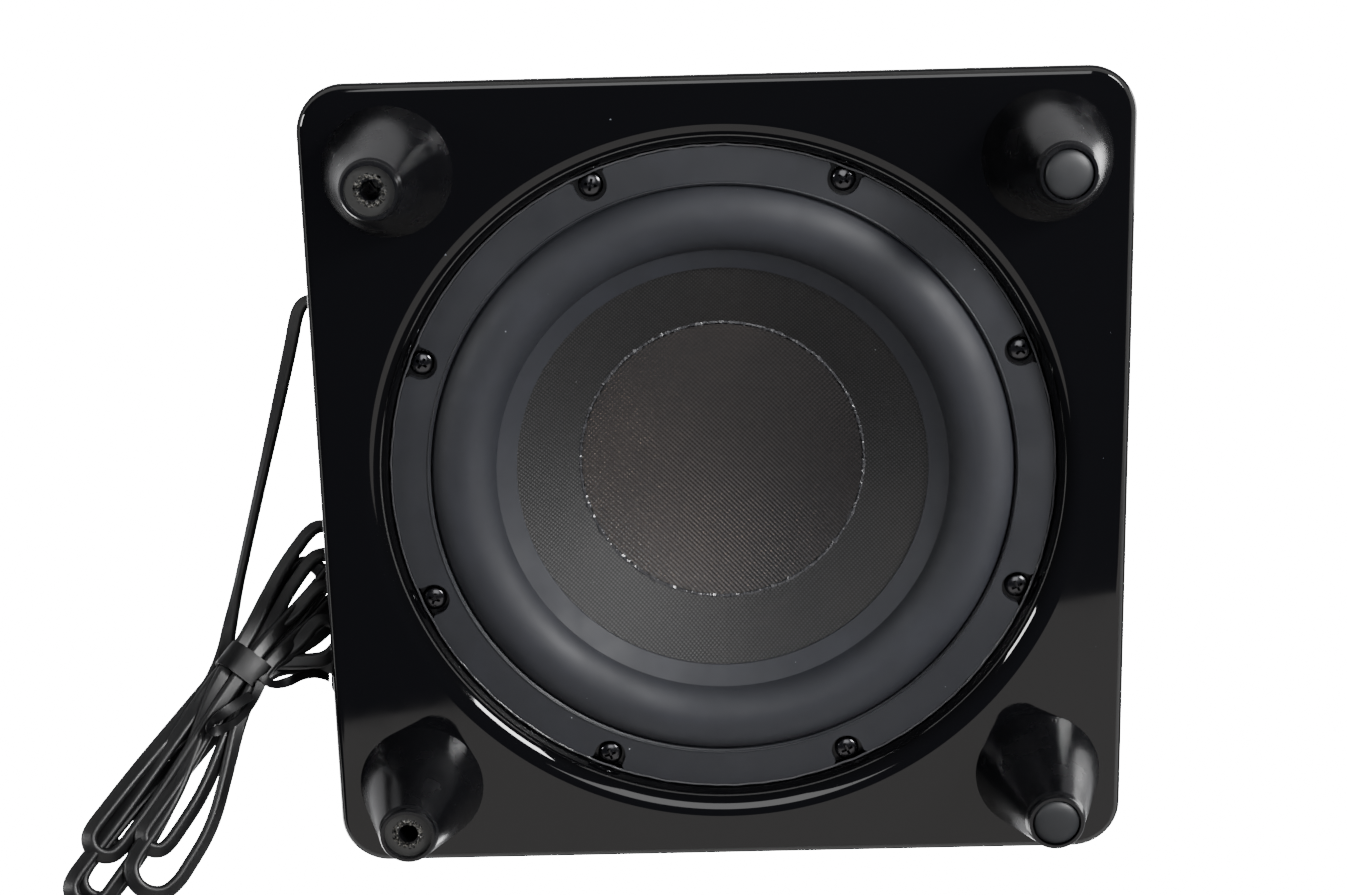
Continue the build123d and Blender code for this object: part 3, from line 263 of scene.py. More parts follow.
looks = {
    # Polished lacquer mirrors the room in black; sawn fibreboard is dry and brown; wadding is a white haze.
    "gloss_lacquer": gloss_lacquer(),
    "raw_board": fibreboard(),
    "polyester_wadding": soft("polyester_wadding", "d8d8d2", "b9b9b2", 0.6),
    # Moulded ABS feet have a soft, even shine. Their rubber pads are duller and greyer.
    "satin_plastic": grained("satin_moulded_plastic", "0b0b0d", 0.24, 0.5, 0.006, dust=False),
    "pad_rubber": grained("pad_rubber", "1a1b1d", 0.5, 0.3, 0.02, wear="27282a"),
    # Zinc is a warm pale grey. Coated steel is dull black, and black oxide still glints like metal.
    "zinc_steel": plated("zinc_plated_steel", "b9b6aa", 0.3),
    "black_steel": grained("black_coated_steel", "0d0d0e", 0.3, 0.8, 0.03),
    "black_screw": grained("black_oxide_screw", "4a4a4c", 0.2, 0.4, 0.01, dust=False, Metallic=1.0),
    # Closed cell foam is flat black.
    "seal_foam": soft("closed_cell_foam", "161617", "0c0c0c", 0.3),
    # The gasket's moulded grain and the butyl roll both look blue-grey, the roll the duller of the two.
    "gasket": grained("textured_gasket_plastic", "18191d", 0.5, 0.35, 0.03, wear="1e1f24"),
    "surround_rubber": grained("butyl_rubber", "1a1b20", 0.62, 0.22, 0.02, wear="202127"),
    # Cotton stiffened with resin is a dull amber.
    "spider_cloth": soft("resin_treated_cotton", "8f6f35", "6f5426", 0.4),
    # The cone's woven fibre is nearly black and dull; the cap's is smoother, with a brown glow.
    "woven_cone": woven("woven_fibre_cone", 1.4, "080808", "262526", "1f1b19"),
    "woven_cap": woven("woven_fibre_cap", 1.65, "0b0a0a", "2a2728", "2b2523", 0.4),
    # Glue that has run and set looks wet. Where a foot came off, its film is dull, with pale crumbs.
    "glue": grained("contact_glue", "343436", 0.08, 0.5, 0.15, dust=False),
    "glue_film": grained("dried_glue_film", "2a2a29", 0.4, 0.7, 0.08, dust=False),
    "glue_remains": crumbled_glue(),
    # The motor: a bright foil former, banded copper on it, and a ferrite ring as dark as slate
    "former_foil": plated("former_foil", "cfcfcf", 0.25),
    "copper_winding": wound("enamelled_copper", "7a3c18", "b06a30", 0.35, 0.3),
    "ferrite": grained("sintered_ferrite", "2b2b2c", 0.6, 0.6, 0.05),
    # Solder resist is a glossy green, wire insulation a soft red, and the transformer's tape a banded yellow.
    "board_laminate": grained("green_solder_resist", "12512a", 0.35, 1.5, 0.03, wear="0d3f20", dust=False),
    "wire_sheath": grained("wire_insulation", "6a1414", 0.4, 0.4, 0.01, dust=False),
    "transformer_tape": wound("transformer_tape", "9c7c1c", "7d6114", 6.0, 0.4),
    # Capacitor sleeves are a shiny dark blue, and the extruded fins a pale grey with long lines.
    "can_sleeve": grained("shrunk_sleeve", "101430", 0.2, 2.0, 0.02, dust=False),
    "sink_aluminium": plated("extruded_aluminium", "a8a8aa", 0.32, 0.3),
    # Powder coat is a fine-grained satin black. The controls are smoother, and the rocker nearly gloss.
    "panel_paint": grained("powder_coated_steel", "101011", 0.46, 0.5, 0.03),
    "control_plastic": grained("moulded_control_plastic", "0e0e10", 0.38, 0.4, 0.02),
    "rocker_plastic": grained("polished_switch_plastic", "0b0b0c", 0.14, 1.5, 0.01),
    "white_inlay": grained("white_inlay", "d5d5d0", 0.5, 0.4, 0.01, dust=False),
    # Plated steel is a soft grey metal, nickel a brighter and warmer one. The lens is clear blue.
    "pot_metal": plated("plated_control_steel", "b4b4b0", 0.28),
    "nickel_contact": plated("nickel_plate", "cfcac0", 0.16),
    "lamp_lens": grained("tinted_lens", "16386a", 0.1, 2.0, 0.01, dust=False, Transmission_Weight=0.5),
    # The cord's soft sheath is black with a low sheen, like the tie strip. The plug is a little harder.
    "cord_sheath": grained("soft_cord_sheath", "070708", 0.43, 0.5, 0.02, dust=False),
    "tie_strip": grained("shiny_tie_strip", "050506", 0.42, 0.7, 0.03, dust=False, Specular_IOR_Level=0.25),
    "plug_moulding": grained("plug_moulding", "0c0c0d", 0.35, 0.6, 0.03),
}
# The line sockets' plastic is plain and half dull, in the colours that tell them apart.
for ring_name, code in {"white": "c9c9c4", "red": "8c1a18", "black": "121213"}.items():
    looks["socket_" + ring_name] = grained("socket_plastic_" + ring_name, code, 0.35, 0.6, 0.02,
                                           dust=False)

for row in frame["record"]["subparts"]:
    node = nodes[row["node"]]
    node.data.materials.clear()
    node.data.materials.append(looks[row["material_slot"]])
nodes["dust_cap"].data.materials[0] = looks["woven_cap"]
for name in ("foot_screws", "standoffs", "transformer_bolt"):
    nodes[name].data.materials[0] = looks["black_steel"]


# Mesh helpers

def finished(name, mesh, look, body="cabinet", smooth=35):
    """A piece from a mesh in the frame's own place: shaded, painted and riding on a body."""
    piece = bpy.data.objects.new(name, mesh)
    bpy.context.scene.collection.objects.link(piece)
    mesh.materials.clear()
    mesh.materials.append(looks[look])
    for face in mesh.polygons:
        face.use_smooth = True
        face.material_index = 0
    mesh.set_sharp_from_angle(angle=math.radians(smooth))
    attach(piece, body)
    return piece


def from_bmesh(name, build):
    """A mesh from a function that fills a BMesh, joined up and with its faces outwards."""
    mesh = bpy.data.meshes.new(name)
    shape = bmesh.new()
    build(shape)
    bmesh.ops.remove_doubles(shape, verts=shape.verts, dist=1e-7)
    bmesh.ops.recalc_face_normals(shape, faces=shape.faces)
    shape.to_mesh(mesh)
    shape.free()
    return mesh


def grid(shape, rows, closed_rows=True, closed_columns=True):
    """Faces between rows of points, joined end to end where closed."""
    made = [[shape.verts.new(p) for p in row] for row in rows]
    count = len(made[0])
    for i in range(len(made) if closed_rows else len(made) - 1):
        for j in range(count if closed_columns else count - 1):
            a, b = made[i], made[(i + 1) % len(made)]
            shape.faces.new((a[j], a[(j + 1) % count], b[(j + 1) % count], b[j]))
    return made


# Bottom panel: one smooth lacquered skin from the leaning walls round the edge to the recess

def outline(half_x, half_y, corner, angle):
    """Distance from the middle to a rounded rectangle's edge in a direction."""
    c, s = abs(math.cos(angle)), abs(math.sin(angle))
    reach = min(half_x / max(c, 1e-9), half_y / max(s, 1e-9))
    if c * reach > half_x - corner and s * reach > half_y - corner:
        cx, cy = half_x - corner, half_y - corner
        along_ray = c * cx + s * cy
        reach = along_ray + math.sqrt(max(0.0, along_ray ** 2 - cx ** 2 - cy ** 2 + corner ** 2))
    return reach


def lacquered_panel(shape):
    """Rows of points that all lie in the same directions from the middle, from the walls inwards."""
    low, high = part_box("bottom_panel")
    half_y = (high.y - low.y) / 2 / MM
    z_low, z_high = low.z / MM, high.z / MM
    lean = math.tan(math.radians(6.5))
    recess_r, lip, seat, cutout, edge, corner = 111.0, 8.0, 13.0, 93.0, 3.0, 16.0
    # Directions from the middle: closer together over the 8 degrees that a rounded corner takes
    side_turn, corner_turn, side_count, corner_count = 41, 8, 66, 26
    sweep = []
    for quarter in range(4):
        start = 90 * quarter
        sweep += [start + side_turn * k / side_count for k in range(side_count)]
        start += side_turn
        sweep += [start + corner_turn * k / corner_count for k in range(corner_count)]
        start += corner_turn
        sweep += [start + side_turn * k / side_count for k in range(side_count)]
    sweep = [math.radians(a) for a in sweep]

    def square(z, inset):
        """The walls' outline at a height, drawn in by inset."""
        half_x = half_y - (z - z_low) * lean - inset
        return [(outline(half_x, half_y - inset, corner - inset * 0.8, a), a, z) for a in sweep]

    def circle(r, z):
        return [(r, a, z) for a in sweep]

    # Rows close beside an edge keep its shading from spreading over the flat faces.
    rows = [square(z_high, 0)]
    rows += [square(z_low + edge + rise, 0) for rise in (12, 0.3)]
    for k in range(9):
        a = math.radians(90 * k / 8)
        rows.append(square(z_low + edge * (1 - math.sin(a)), edge * (1 - math.cos(a))))
    rows += [square(z_low, edge + 0.4), square(z_low, edge + 6), circle(recess_r + lip + 0.4, z_low)]
    for k in range(15):
        a = math.radians(90 * k / 14)
        rows.append(circle(recess_r + lip * (1 - math.sin(a)), z_low + lip * (1 - math.cos(a))))
    rows += [circle(recess_r, z_low + seat - 0.3), circle(recess_r, z_low + seat),
             circle(cutout, z_low + seat), circle(cutout, z_high)]
    grid(shape, [[at(r * math.cos(a), r * math.sin(a), z) for r, a, z in row] for row in rows])


panel_mesh = from_bmesh("lacquered_bottom", lacquered_panel)
panel = finished("lacquered_bottom", panel_mesh, "gloss_lacquer", smooth=40)
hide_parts("bottom_panel")


# Screws: one pan head with a cross recess, set on points by a node tree

def repeat_tree():
    """Sets one pattern on every point, tilted, each turned by its own chance amount."""
    tree = bpy.data.node_groups.new("repeat_on_points", "GeometryNodeTree")
    sockets = {}
    inputs = {"Points": "Geometry", "Pattern": "Object", "Tilt": "Rotation", "Spin": "Float", "Seed": "Int",
              "Finish": "Material"}
    for name, kind in inputs.items():
        socket = tree.interface.new_socket(name, in_out="INPUT", socket_type="NodeSocket" + kind)
        sockets[name] = socket.identifier
    tree.interface.new_socket("Result", in_out="OUTPUT", socket_type="NodeSocketGeometry")
    start, end = tree.nodes.new("NodeGroupInput"), tree.nodes.new("NodeGroupOutput")
    kinds = ("GeometryNodeObjectInfo", "FunctionNodeRandomValue", "ShaderNodeCombineXYZ",
             "FunctionNodeEulerToRotation", "FunctionNodeRotateRotation", "GeometryNodeInstanceOnPoints",
             "GeometryNodeRealizeInstances", "GeometryNodeSetMaterial", "ShaderNodeMath")
    pattern, chance, euler, spin, tilt, put, real, paint, minus = [tree.nodes.new(kind) for kind in kinds]
    pattern.inputs["As Instance"].default_value = True
    minus.operation = "MULTIPLY"
    minus.inputs[1].default_value = -1.0
    tilt.rotation_space = "LOCAL"
    link = tree.links.new
    link(start.outputs["Pattern"], pattern.inputs["Object"])
    link(start.outputs["Spin"], minus.inputs[0])
    link(minus.outputs[0], chance.inputs[2])
    link(start.outputs["Spin"], chance.inputs[3])
    link(start.outputs["Seed"], chance.inputs["Seed"])
    link(chance.outputs[1], euler.inputs["Z"])
    link(euler.outputs[0], spin.inputs[0])
    link(start.outputs["Tilt"], tilt.inputs["Rotation"])
    link(spin.outputs[0], tilt.inputs["Rotate By"])
    link(start.outputs["Points"], put.inputs["Points"])
    link(pattern.outputs["Geometry"], put.inputs["Instance"])
    link(tilt.outputs[0], put.inputs["Rotation"])
    link(put.outputs[0], real.inputs[0])
    link(real.outputs[0], paint.inputs["Geometry"])
    link(start.outputs["Finish"], paint.inputs["Material"])
    link(paint.outputs[0], end.inputs[0])
    return tree, sockets


REPEAT, REPEAT_SOCKETS = repeat_tree()


def repeated(name, pattern, places, tilt, spin, seed, look, body="cabinet", smooth=35):
    """One piece made of a pattern mesh set on places, through the node tree."""
    points = bpy.data.meshes.new(name + "_points")
    points.from_pydata([tuple(p) for p in places], [], [])
    holder = bpy.data.objects.new(name + "_points", points)
    single = bpy.data.objects.new(name + "_pattern", pattern)
    for made in (holder, single):
        bpy.context.scene.collection.objects.link(made)
    step = holder.modifiers.new("repeat", "NODES")
    step.node_group = REPEAT
    values = {"Pattern": single, "Tilt": tilt, "Spin": spin, "Seed": seed, "Finish": looks[look]}
    for key, value in values.items():
        step[REPEAT_SOCKETS[key]] = value
    bpy.context.view_layer.update()
    mesh = bpy.data.meshes.new_from_object(holder.evaluated_get(bpy.context.evaluated_depsgraph_get()))
    mesh.name = name
    for made in (holder, single):
        bpy.data.objects.remove(made)
    return finished(name, mesh, look, body, smooth)


def spun(shape, profile, count):
    """A closed turned shape about Z from (radius, height) points that start and end on the axis."""
    turns = [math.tau * k / count for k in range(count)]
    rings = [[shape.verts.new((r * MM * math.cos(a), r * MM * math.sin(a), z * MM)) for a in turns]
             for r, z in profile[1:-1]]
    for a, b in zip(rings, rings[1:]):
        for k in range(count):
            shape.faces.new((a[k], a[(k + 1) % count], b[(k + 1) % count], b[k]))
    for ring, (r, z) in ((rings[0], profile[0]), (rings[-1], profile[-1])):
        tip = shape.verts.new((0, 0, z * MM))
        for k in range(count):
            shape.faces.new((ring[k], ring[(k + 1) % count], tip))


def wedge(shape, length, width, depth, top):
    """One arm of a cross recess, narrower at its bottom."""
    corners = []
    for z, share in ((top, 1.0), (top - depth, 0.45)):
        for x, y in ((-1, -1), (1, -1), (1, 1), (-1, 1)):
            place = (x * length * share * MM / 2, y * width * (0.5 + share / 2) * MM / 2, z * MM)
            corners.append(shape.verts.new(place))
    for face in ((3, 2, 1, 0), (4, 5, 6, 7), (0, 1, 5, 4), (1, 2, 6, 5), (2, 3, 7, 6), (3, 0, 4, 7)):
        shape.faces.new([corners[k] for k in face])


def cut(body, tool):
    """The body mesh less the tool mesh."""
    solid, knife = bpy.data.objects.new("solid", body), bpy.data.objects.new("knife", tool)
    for made in (solid, knife):
        bpy.context.scene.collection.objects.link(made)
    step = solid.modifiers.new("cut", "BOOLEAN")
    step.operation, step.object, step.solver = "DIFFERENCE", knife, "EXACT"
    bpy.context.view_layer.update()
    mesh = bpy.data.meshes.new_from_object(solid.evaluated_get(bpy.context.evaluated_depsgraph_get()))
    for made in (solid, knife):
        bpy.data.objects.remove(made)
    return mesh


def screw(head_r, head_h, shank_r, shank):
    """Pan head screw standing on z 0, its head up."""
    arc = [math.radians(90 * k / 8) for k in range(8, 0, -1)]
    crown = [(head_r * math.sin(a), head_h * (0.3 + 0.7 * math.cos(a))) for a in arc]
    profile = [(0, -shank), (shank_r, -shank), (shank_r, 0), (head_r * 0.97, 0), (head_r, 0.12 * head_h),
               *crown, (0, head_h)]
    mesh = from_bmesh("screw", lambda shape: spun(shape, profile, 40))
    for turn in (0, 90):
        def arm(shape):
            wedge(shape, head_r * 1.12, 0.9, head_h * 0.62, head_h + 0.1)
            bmesh.ops.rotate(shape, verts=shape.verts, matrix=Matrix.Rotation(math.radians(turn), 3, "Z"))
        mesh = cut(mesh, from_bmesh("recess", arm))
    return mesh


FACING_DOWN, FACING_BACK = (math.pi, 0, 0), (-math.pi / 2, 0, 0)
SCREW_CIRCLE_R, SCREW_SEAT_Z = 106.4, 53
driver_turns = [math.radians(22.5 + 45 * k) for k in range(8)]
driver_places = [at(SCREW_CIRCLE_R * math.cos(a), SCREW_CIRCLE_R * math.sin(a), SCREW_SEAT_Z)
                 for a in driver_turns]
driver_screw = screw(head_r=4.1, head_h=2.6, shank_r=2.0, shank=14)
driver_screws = repeated("driver_cross_screws", driver_screw, driver_places, FACING_DOWN,
                         spin=1.5, seed=11, look="black_screw", smooth=32)
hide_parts("driver_screws")
plate_low, plate_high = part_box("amp_plate")
amp_across, amp_up, amp_middle = 70.0, 95.0, (plate_low.z + plate_high.z) / 2
amp_rows = [(x, z) for x in (-amp_across, amp_across) for z in (-amp_up / 3, amp_up / 3)]
amp_rows += [(x, z) for x in (-amp_across, 0, amp_across) for z in (-amp_up, amp_up)]
amp_places = [(x * MM, plate_high.y, amp_middle + z * MM) for x, z in amp_rows]
amp_screw = screw(head_r=3.4, head_h=2.0, shank_r=1.7, shank=14)
amp_screws = repeated("panel_cross_screws", amp_screw, amp_places, FACING_BACK,
                      spin=1.5, seed=5, look="black_screw", smooth=32)
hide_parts("amp_screws")


# The cord: from the gland down to the tied hank, its loops, and on to the plug

# Millimetres about the driver's axis. TIE is the tie's place along the hank from its foot, and the
# cord first comes to it at TIE_ENTRY, across the hank and out of its flat side.
CORD_W, CORD_T = 5.6, 3.0
TIE, TIE_ENTRY = 93.0, (-5.4, -6.0)
LEAD = [(-37, 153.5, 186), (-37, 157.8, 186), (-35.2, 160.6, 184.6), (-31, 162.2, 181), (-21.5, 163.1, 172),
        (56.4, 174.2, 81), (65.8, 175.3, 72), (72.9, 178.3, 61.3)]
TAIL = [(70, 155.5, 68), (73.6, 147.4, 76.5), (76.8, 141.2, 86), (80.8, 140.6, 96.6)]
HANK_FOOT, HANK_HEAD = Vector((125, 217, 8)), Vector((37, 139.5, 89))
along = (HANK_HEAD - HANK_FOOT).normalized()
across = Vector((-along.y, along.x, 0)).normalized()
out = across.cross(along)


def on_hank(s, b, n):
    """A point of the hank: along it, across it and out of its flat side."""
    return tuple(HANK_FOOT + along * s + across * b + out * n)


# Loops by turns below and above the tie: how far they reach, the places of the two legs across
# the hank, how far out they lie, and where the cord comes back through the tie.
LOOPS = [
    (14, -8.0, 4.0, 0.5, (0.0, 4.1)), (152, 3.0, -11.0, -2.0, (-5.3, 1.4)),
    (13, 8.5, 25.5, 3.0, (5.3, 4.1)), (144, 10.0, -4.5, -1.0, (0.0, 1.4)),
    (25, 5.5, 15.5, 2.5, (5.3, 1.4)), (134, 14.5, 2.5, 1.5, (-5.2, -1.4)),
    (-2, -3.0, 9.5, 0.0, (0.1, -1.4)), (124, 21.0, 9.5, 2.5, (5.2, -1.4)),
    (2, -1.5, 11.0, -3.0, (-3.0, -4.1)), (138, -7.0, 5.0, -4.0, (4.4, -4.1)),
    (19, -6.5, 5.0, -3.5, (6.5, -3.4)),
]


def ease(t):
    """A smooth step from 0 to 1."""
    t = min(1.0, max(0.0, t))
    return t * t * (3 - 2 * t)


def loop(reach, leg_in, leg_out, level, start, end):
    """One loop of the hank from the tie and back: down one leg, round, and up the other."""
    way = 1 if reach > TIE else -1
    middle, half = (leg_in + leg_out) / 2, (leg_out - leg_in) / 2
    straight = abs(reach - TIE) - abs(half)
    down, back_up = [], []
    for share in (0.2, 0.45, 0.7, 1 - 4 / straight, 1.0):
        for leg, (tie_b, tie_n), row in ((leg_in, start, down), (leg_out, end, back_up)):
            b = tie_b + (leg - tie_b) * ease(share / 0.85)
            n = tie_n + (level - tie_n) * ease(share / 0.85)
            row.append(on_hank(TIE + way * straight * share, b, n))
    bend = []
    # The four control points stand a little outside the half circle that they bend the cord round.
    for angle in (-54, -18, 18, 54):
        a = math.radians(angle)
        past = straight + 1.06 * abs(half) * math.cos(a)
        bend.append(on_hank(TIE + way * past, middle + 1.06 * half * math.sin(a), level))
    return down + bend + back_up[::-1]


def cord_route():
    """Points of the whole cord from the gland to the plug."""
    points = list(LEAD)
    here = TIE_ENTRY
    for reach, leg_in, leg_out, level, there in LOOPS:
        points += loop(reach, leg_in, leg_out, level, here, there)
        points.append(on_hank(TIE, *there))
        here = there
    return points + list(TAIL)


def route_line(name, points, resolution):
    """The smooth line through a route's control points, read back as points in order."""
    curve = bpy.data.curves.new(name, "CURVE")
    curve.dimensions = "3D"
    curve.resolution_u = resolution
    spline = curve.splines.new("NURBS")
    spline.points.add(len(points) - 1)
    for control, place in zip(spline.points, points):
        control.co = (*at(*place), 1.0)
    spline.order_u = 3
    spline.use_endpoint_u = True
    holder = bpy.data.objects.new(name, curve)
    bpy.context.scene.collection.objects.link(holder)
    bpy.context.view_layer.update()
    mesh = bpy.data.meshes.new_from_object(holder.evaluated_get(bpy.context.evaluated_depsgraph_get()))
    line = [v.co.copy() for v in mesh.vertices]
    bpy.data.objects.remove(holder)
    bpy.data.curves.remove(curve)
    bpy.data.meshes.remove(mesh)
    return line


def swept(shape, line, section, width_at, twist_at):
    """A closed skin along a line. The section's points lie across and through it, and it is turned
    by twist_at about the line, from the side that width_at gives."""
    rows = []
    for i, place in enumerate(line):
        ahead = (line[min(i + 1, len(line) - 1)] - line[max(i - 1, 0)]).normalized()
        side = width_at(i).cross(ahead).normalized()
        rise = ahead.cross(side)
        angle = twist_at(i)
        wide = side * math.cos(angle) - rise * math.sin(angle)
        thin = ahead.cross(wide)
        rows.append([place + wide * (u * MM) + thin * (v * MM) for u, v in section])
    made = grid(shape, rows, closed_rows=False)
    for end in (made[0], made[-1]):
        centre = shape.verts.new(sum((v.co for v in end), Vector()) / len(end))
        for j in range(len(end)):
            shape.faces.new((end[j], end[(j + 1) % len(end)], centre))


def cord_section(width, thick, count=8):
    """Two cores side by side: round ends and a shallow groove along the middle."""
    flat, r = (width - thick) / 2, thick / 2
    half_turn = [math.pi * (k / count - 0.5) for k in range(count + 1)]
    ends = [(flat + r * math.cos(a), r * math.sin(a)) for a in half_turn]
    return ends + [(0.0, r * 0.86)] + [(-u, -v) for u, v in ends] + [(0.0, -r * 0.86)]


cord_line = route_line("cord_route", cord_route(), 10)
steps = [0.0]
for a, b in zip(cord_line, cord_line[1:]):
    steps.append(steps[-1] + (b - a).length)
cord_length = steps[-1]
LEAD_LENGTH, TAIL_LENGTH = 0.168, 0.045
tail_from = cord_length - TAIL_LENGTH
# Degrees about the cord's own line: at the gland, then on edge, then flat again into the tie; in the
# hank's bends, with how much that wanders; and in the tail
GLAND_TURN, EDGE_TURN, FLAT_TURN = -27.4, -52, 79.4
BEND_TURN, BEND_WANDER = 33, 22
TAIL_TURN = -44


def cord_twist(i):
    """The lead lies flat at the gland and turns on edge. The loops lie flat in the tie and on edge
    where they bend."""
    place, run = cord_line[i], steps[i]
    if run < LEAD_LENGTH:
        share = run / LEAD_LENGTH
        angle = GLAND_TURN + EDGE_TURN * ease(share / 0.7) + FLAT_TURN * ease((share - 0.78) / 0.22)
    elif run > tail_from:
        angle = TAIL_TURN * ease((run - tail_from) / (cord_length - tail_from))
    else:
        s = (place - at(*HANK_FOOT)).dot(along) / MM
        turned = BEND_TURN + BEND_WANDER * noise.noise(Vector((run * 9, 0, 0)))
        angle = -turned * ease(abs(s - TIE) / 38) * min(1.0, (tail_from - run) / 0.02)
    return math.radians(angle)


def cord_skin(shape):
    swept(shape, cord_line, cord_section(CORD_W, CORD_T), lambda i: out, cord_twist)


cord_mesh = from_bmesh("mains_cord", cord_skin)
mains_cord = finished("mains_cord", cord_mesh, "cord_sheath", smooth=60)
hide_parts("cord_lead", "cord_hank", "cord_tail")


# The strip that ties the hank: a band with two loose ends

BAND_HALF_WIDE, BAND_HALF_DEEP, BAND_THICK = 9.0, 6.6, 0.9
BAND_OUTER, BAND_INNER = (88.2, 90.0, 93.0, 96.0, 97.8), (97.8, 93.0, 88.2)  # along the hank


def band(shape):
    """The strip's turn round the hank: a rounded oblong with a soft swell."""
    rows = []
    for k in range(40):
        a = math.tau * k / 40
        b = BAND_HALF_WIDE * abs(math.cos(a)) ** 0.62 * math.copysign(1, math.cos(a))
        n = BAND_HALF_DEEP * abs(math.sin(a)) ** 0.75 * math.copysign(1, math.sin(a))
        row = []
        for s in BAND_OUTER:
            swell = 0.35 * noise.noise(Vector((s * 0.4, b * 0.5, n * 0.5)))
            row.append(at(*on_hank(s, b + swell * math.cos(a), n + swell * math.sin(a))))
        inner = [at(*on_hank(s, b - BAND_THICK * math.cos(a), n - BAND_THICK * math.sin(a)))
                 for s in BAND_INNER]
        rows.append(row + inner)
    grid(shape, rows)


def loose_end(shape, points, width, twist):
    """A free end of the strip through points of the hank; twist is in degrees by share of its length."""
    line = route_line("tie_route", [on_hank(*p) for p in points], 8)
    half = width / 2
    thin = [(-half, -0.25), (0, -0.32), (half, -0.25), (half, 0.25), (0, 0.32), (-half, 0.25)]
    swept(shape, line, thin, lambda i: out, lambda i: math.radians(twist(i / len(line))))


STRIP_W = 3.4
SHORT_END = [(93, 6, 7.4), (91.5, 9.5, 7.4), (96, 14.0, 6.0), (103, 17.5, 3.5), (107, 21.5, 2.5),
             (108, 25.5, 0.5)]
CURLED_END = [(91, 7, 7.4), (84, 9.0, 8.0), (76, 8.6, 8.4), (69, 5.6, 8.2), (66.4, 2.8, 8.0),
              (68.6, 1.2, 8.6), (76, 3.4, 9.2), (85, 6.8, 9.2)]


def tie_shape(shape):
    """The band and its two loose ends, each with a wavy twist."""
    band(shape)
    loose_end(shape, SHORT_END, STRIP_W, lambda t: 35 * math.sin(8 * t))
    loose_end(shape, CURLED_END, STRIP_W, lambda t: 50 * math.sin(7 * t))


tie = finished("hank_tie", from_bmesh("hank_tie", tie_shape), "tie_strip", smooth=50)
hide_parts("cord_tie")


# Amplifier panel: printed scale dots, pointer inlays and the sockets' colour rings

def disc_mesh():
    """A printed dot 1.1 mm across."""
    return from_bmesh("dot", lambda shape: spun(shape, [(0, 0), (0.55, 0), (0.55, 0.06), (0, 0.06)], 16))


def dots(centre, radius):
    """Eleven marks round a knob, 30 degrees apart over its whole turn."""
    turns = [math.radians(150 - 30 * k) for k in range(11)]
    return [Vector((centre.x + radius * MM * math.sin(a), plate_high.y, centre.z + radius * MM * math.cos(a)))
            for a in turns]


SCALE_R = 13.0
knob_centres = {side: sum(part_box(f"{side}_shaft"), Vector()) / 2 for side in ("level", "crossover")}
scale_places = [place for centre in knob_centres.values() for place in dots(centre, SCALE_R)]
repeated("knob_scale_dots", disc_mesh(), scale_places, FACING_BACK, spin=0.0, seed=1, look="white_inlay")


def block(low, high):
    """A plain box between two corners in the frame."""
    def build(shape):
        x, y, z = [(low[i], high[i]) for i in range(3)]
        lower = [shape.verts.new((x[i], y[j], z[0])) for i, j in ((0, 0), (1, 0), (1, 1), (0, 1))]
        upper = [shape.verts.new((x[i], y[j], z[1])) for i, j in ((0, 0), (1, 0), (1, 1), (0, 1))]
        shape.faces.new(lower[::-1])
        shape.faces.new(upper)
        for k in range(4):
            shape.faces.new((lower[k], lower[(k + 1) % 4], upper[(k + 1) % 4], upper[k]))
    return build


# A pointer is an inlay 1 mm wide, from 1 mm above the knob's middle to 8.5 mm, just under its face.
for side, centre in knob_centres.items():
    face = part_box(f"{side}_knob")[1][1]
    low = (centre.x - 0.5 * MM, face - 0.62 * MM, centre.z + 1.0 * MM)
    high = (centre.x + 0.5 * MM, face - 0.1 * MM, centre.z + 8.5 * MM)
    pointer = from_bmesh(f"{side}_pointer", block(low, high))
    finished(f"{side}_pointer", pointer, "white_inlay", f"{side}_control")

jack_low, jack_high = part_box("jack_shells")
jack_r = (jack_high.z - jack_low.z) / 2
jack_z = (jack_low.z + jack_high.z) / 2
socket_middles = [jack_low.x + jack_r, (jack_low.x + jack_high.x) / 2, jack_high.x - jack_r]
# Each ring's section, as radius and height over the panel
RING_PROFILE = ((4.3, 1.15), (5.6, 1.15), (5.9, 1.35), (5.6, 1.5), (4.3, 1.5))
for colour, x in zip(("black", "red", "white"), socket_middles):
    def colour_ring(shape):
        rows = []
        for k in range(48):
            a = math.tau * k / 48
            rows.append([(x + r * MM * math.cos(a), plate_high.y + y * MM, jack_z + r * MM * math.sin(a))
                         for r, y in RING_PROFILE])
        grid(shape, rows)
    ring = from_bmesh(f"socket_ring_{colour}", colour_ring)
    finished(f"socket_ring_{colour}", ring, f"socket_{colour}")


# Thin raised rims: the gasket's inner lip and the frame's outer edge

def rim(radius, height, thick, unevenness, count=480):
    """A round bead about the driver's axis, as uneven as asked."""
    around = [math.tau * j / 8 for j in range(8)]

    def build(shape):
        rows = []
        for k in range(count):
            a = math.tau * k / count
            wave = Vector((math.cos(a), math.sin(a), 0)) * 22
            r = radius + unevenness * noise.noise(wave)
            z = height + unevenness * noise.noise(wave + Vector((0, 0, 9)))
            row = []
            for t in around:
                reach = r + thick * math.cos(t)
                row.append(at(reach * math.cos(a), reach * math.sin(a), z + thick * math.sin(t)))
            rows.append(row)
        grid(shape, rows)
    return build


inner_lip = from_bmesh("gasket_inner_lip", rim(radius=98.1, height=50.05, thick=0.42, unevenness=0.0))
finished("gasket_inner_lip", inner_lip, "gasket", smooth=80)
outer_edge = from_bmesh("frame_outer_edge", rim(radius=110.3, height=50.3, thick=0.45, unevenness=0.3))
finished("frame_outer_edge", outer_edge, "glue", smooth=80)


# Dust cap bead: glue that has run unevenly round the cap's edge

BEAD_R = 0.75


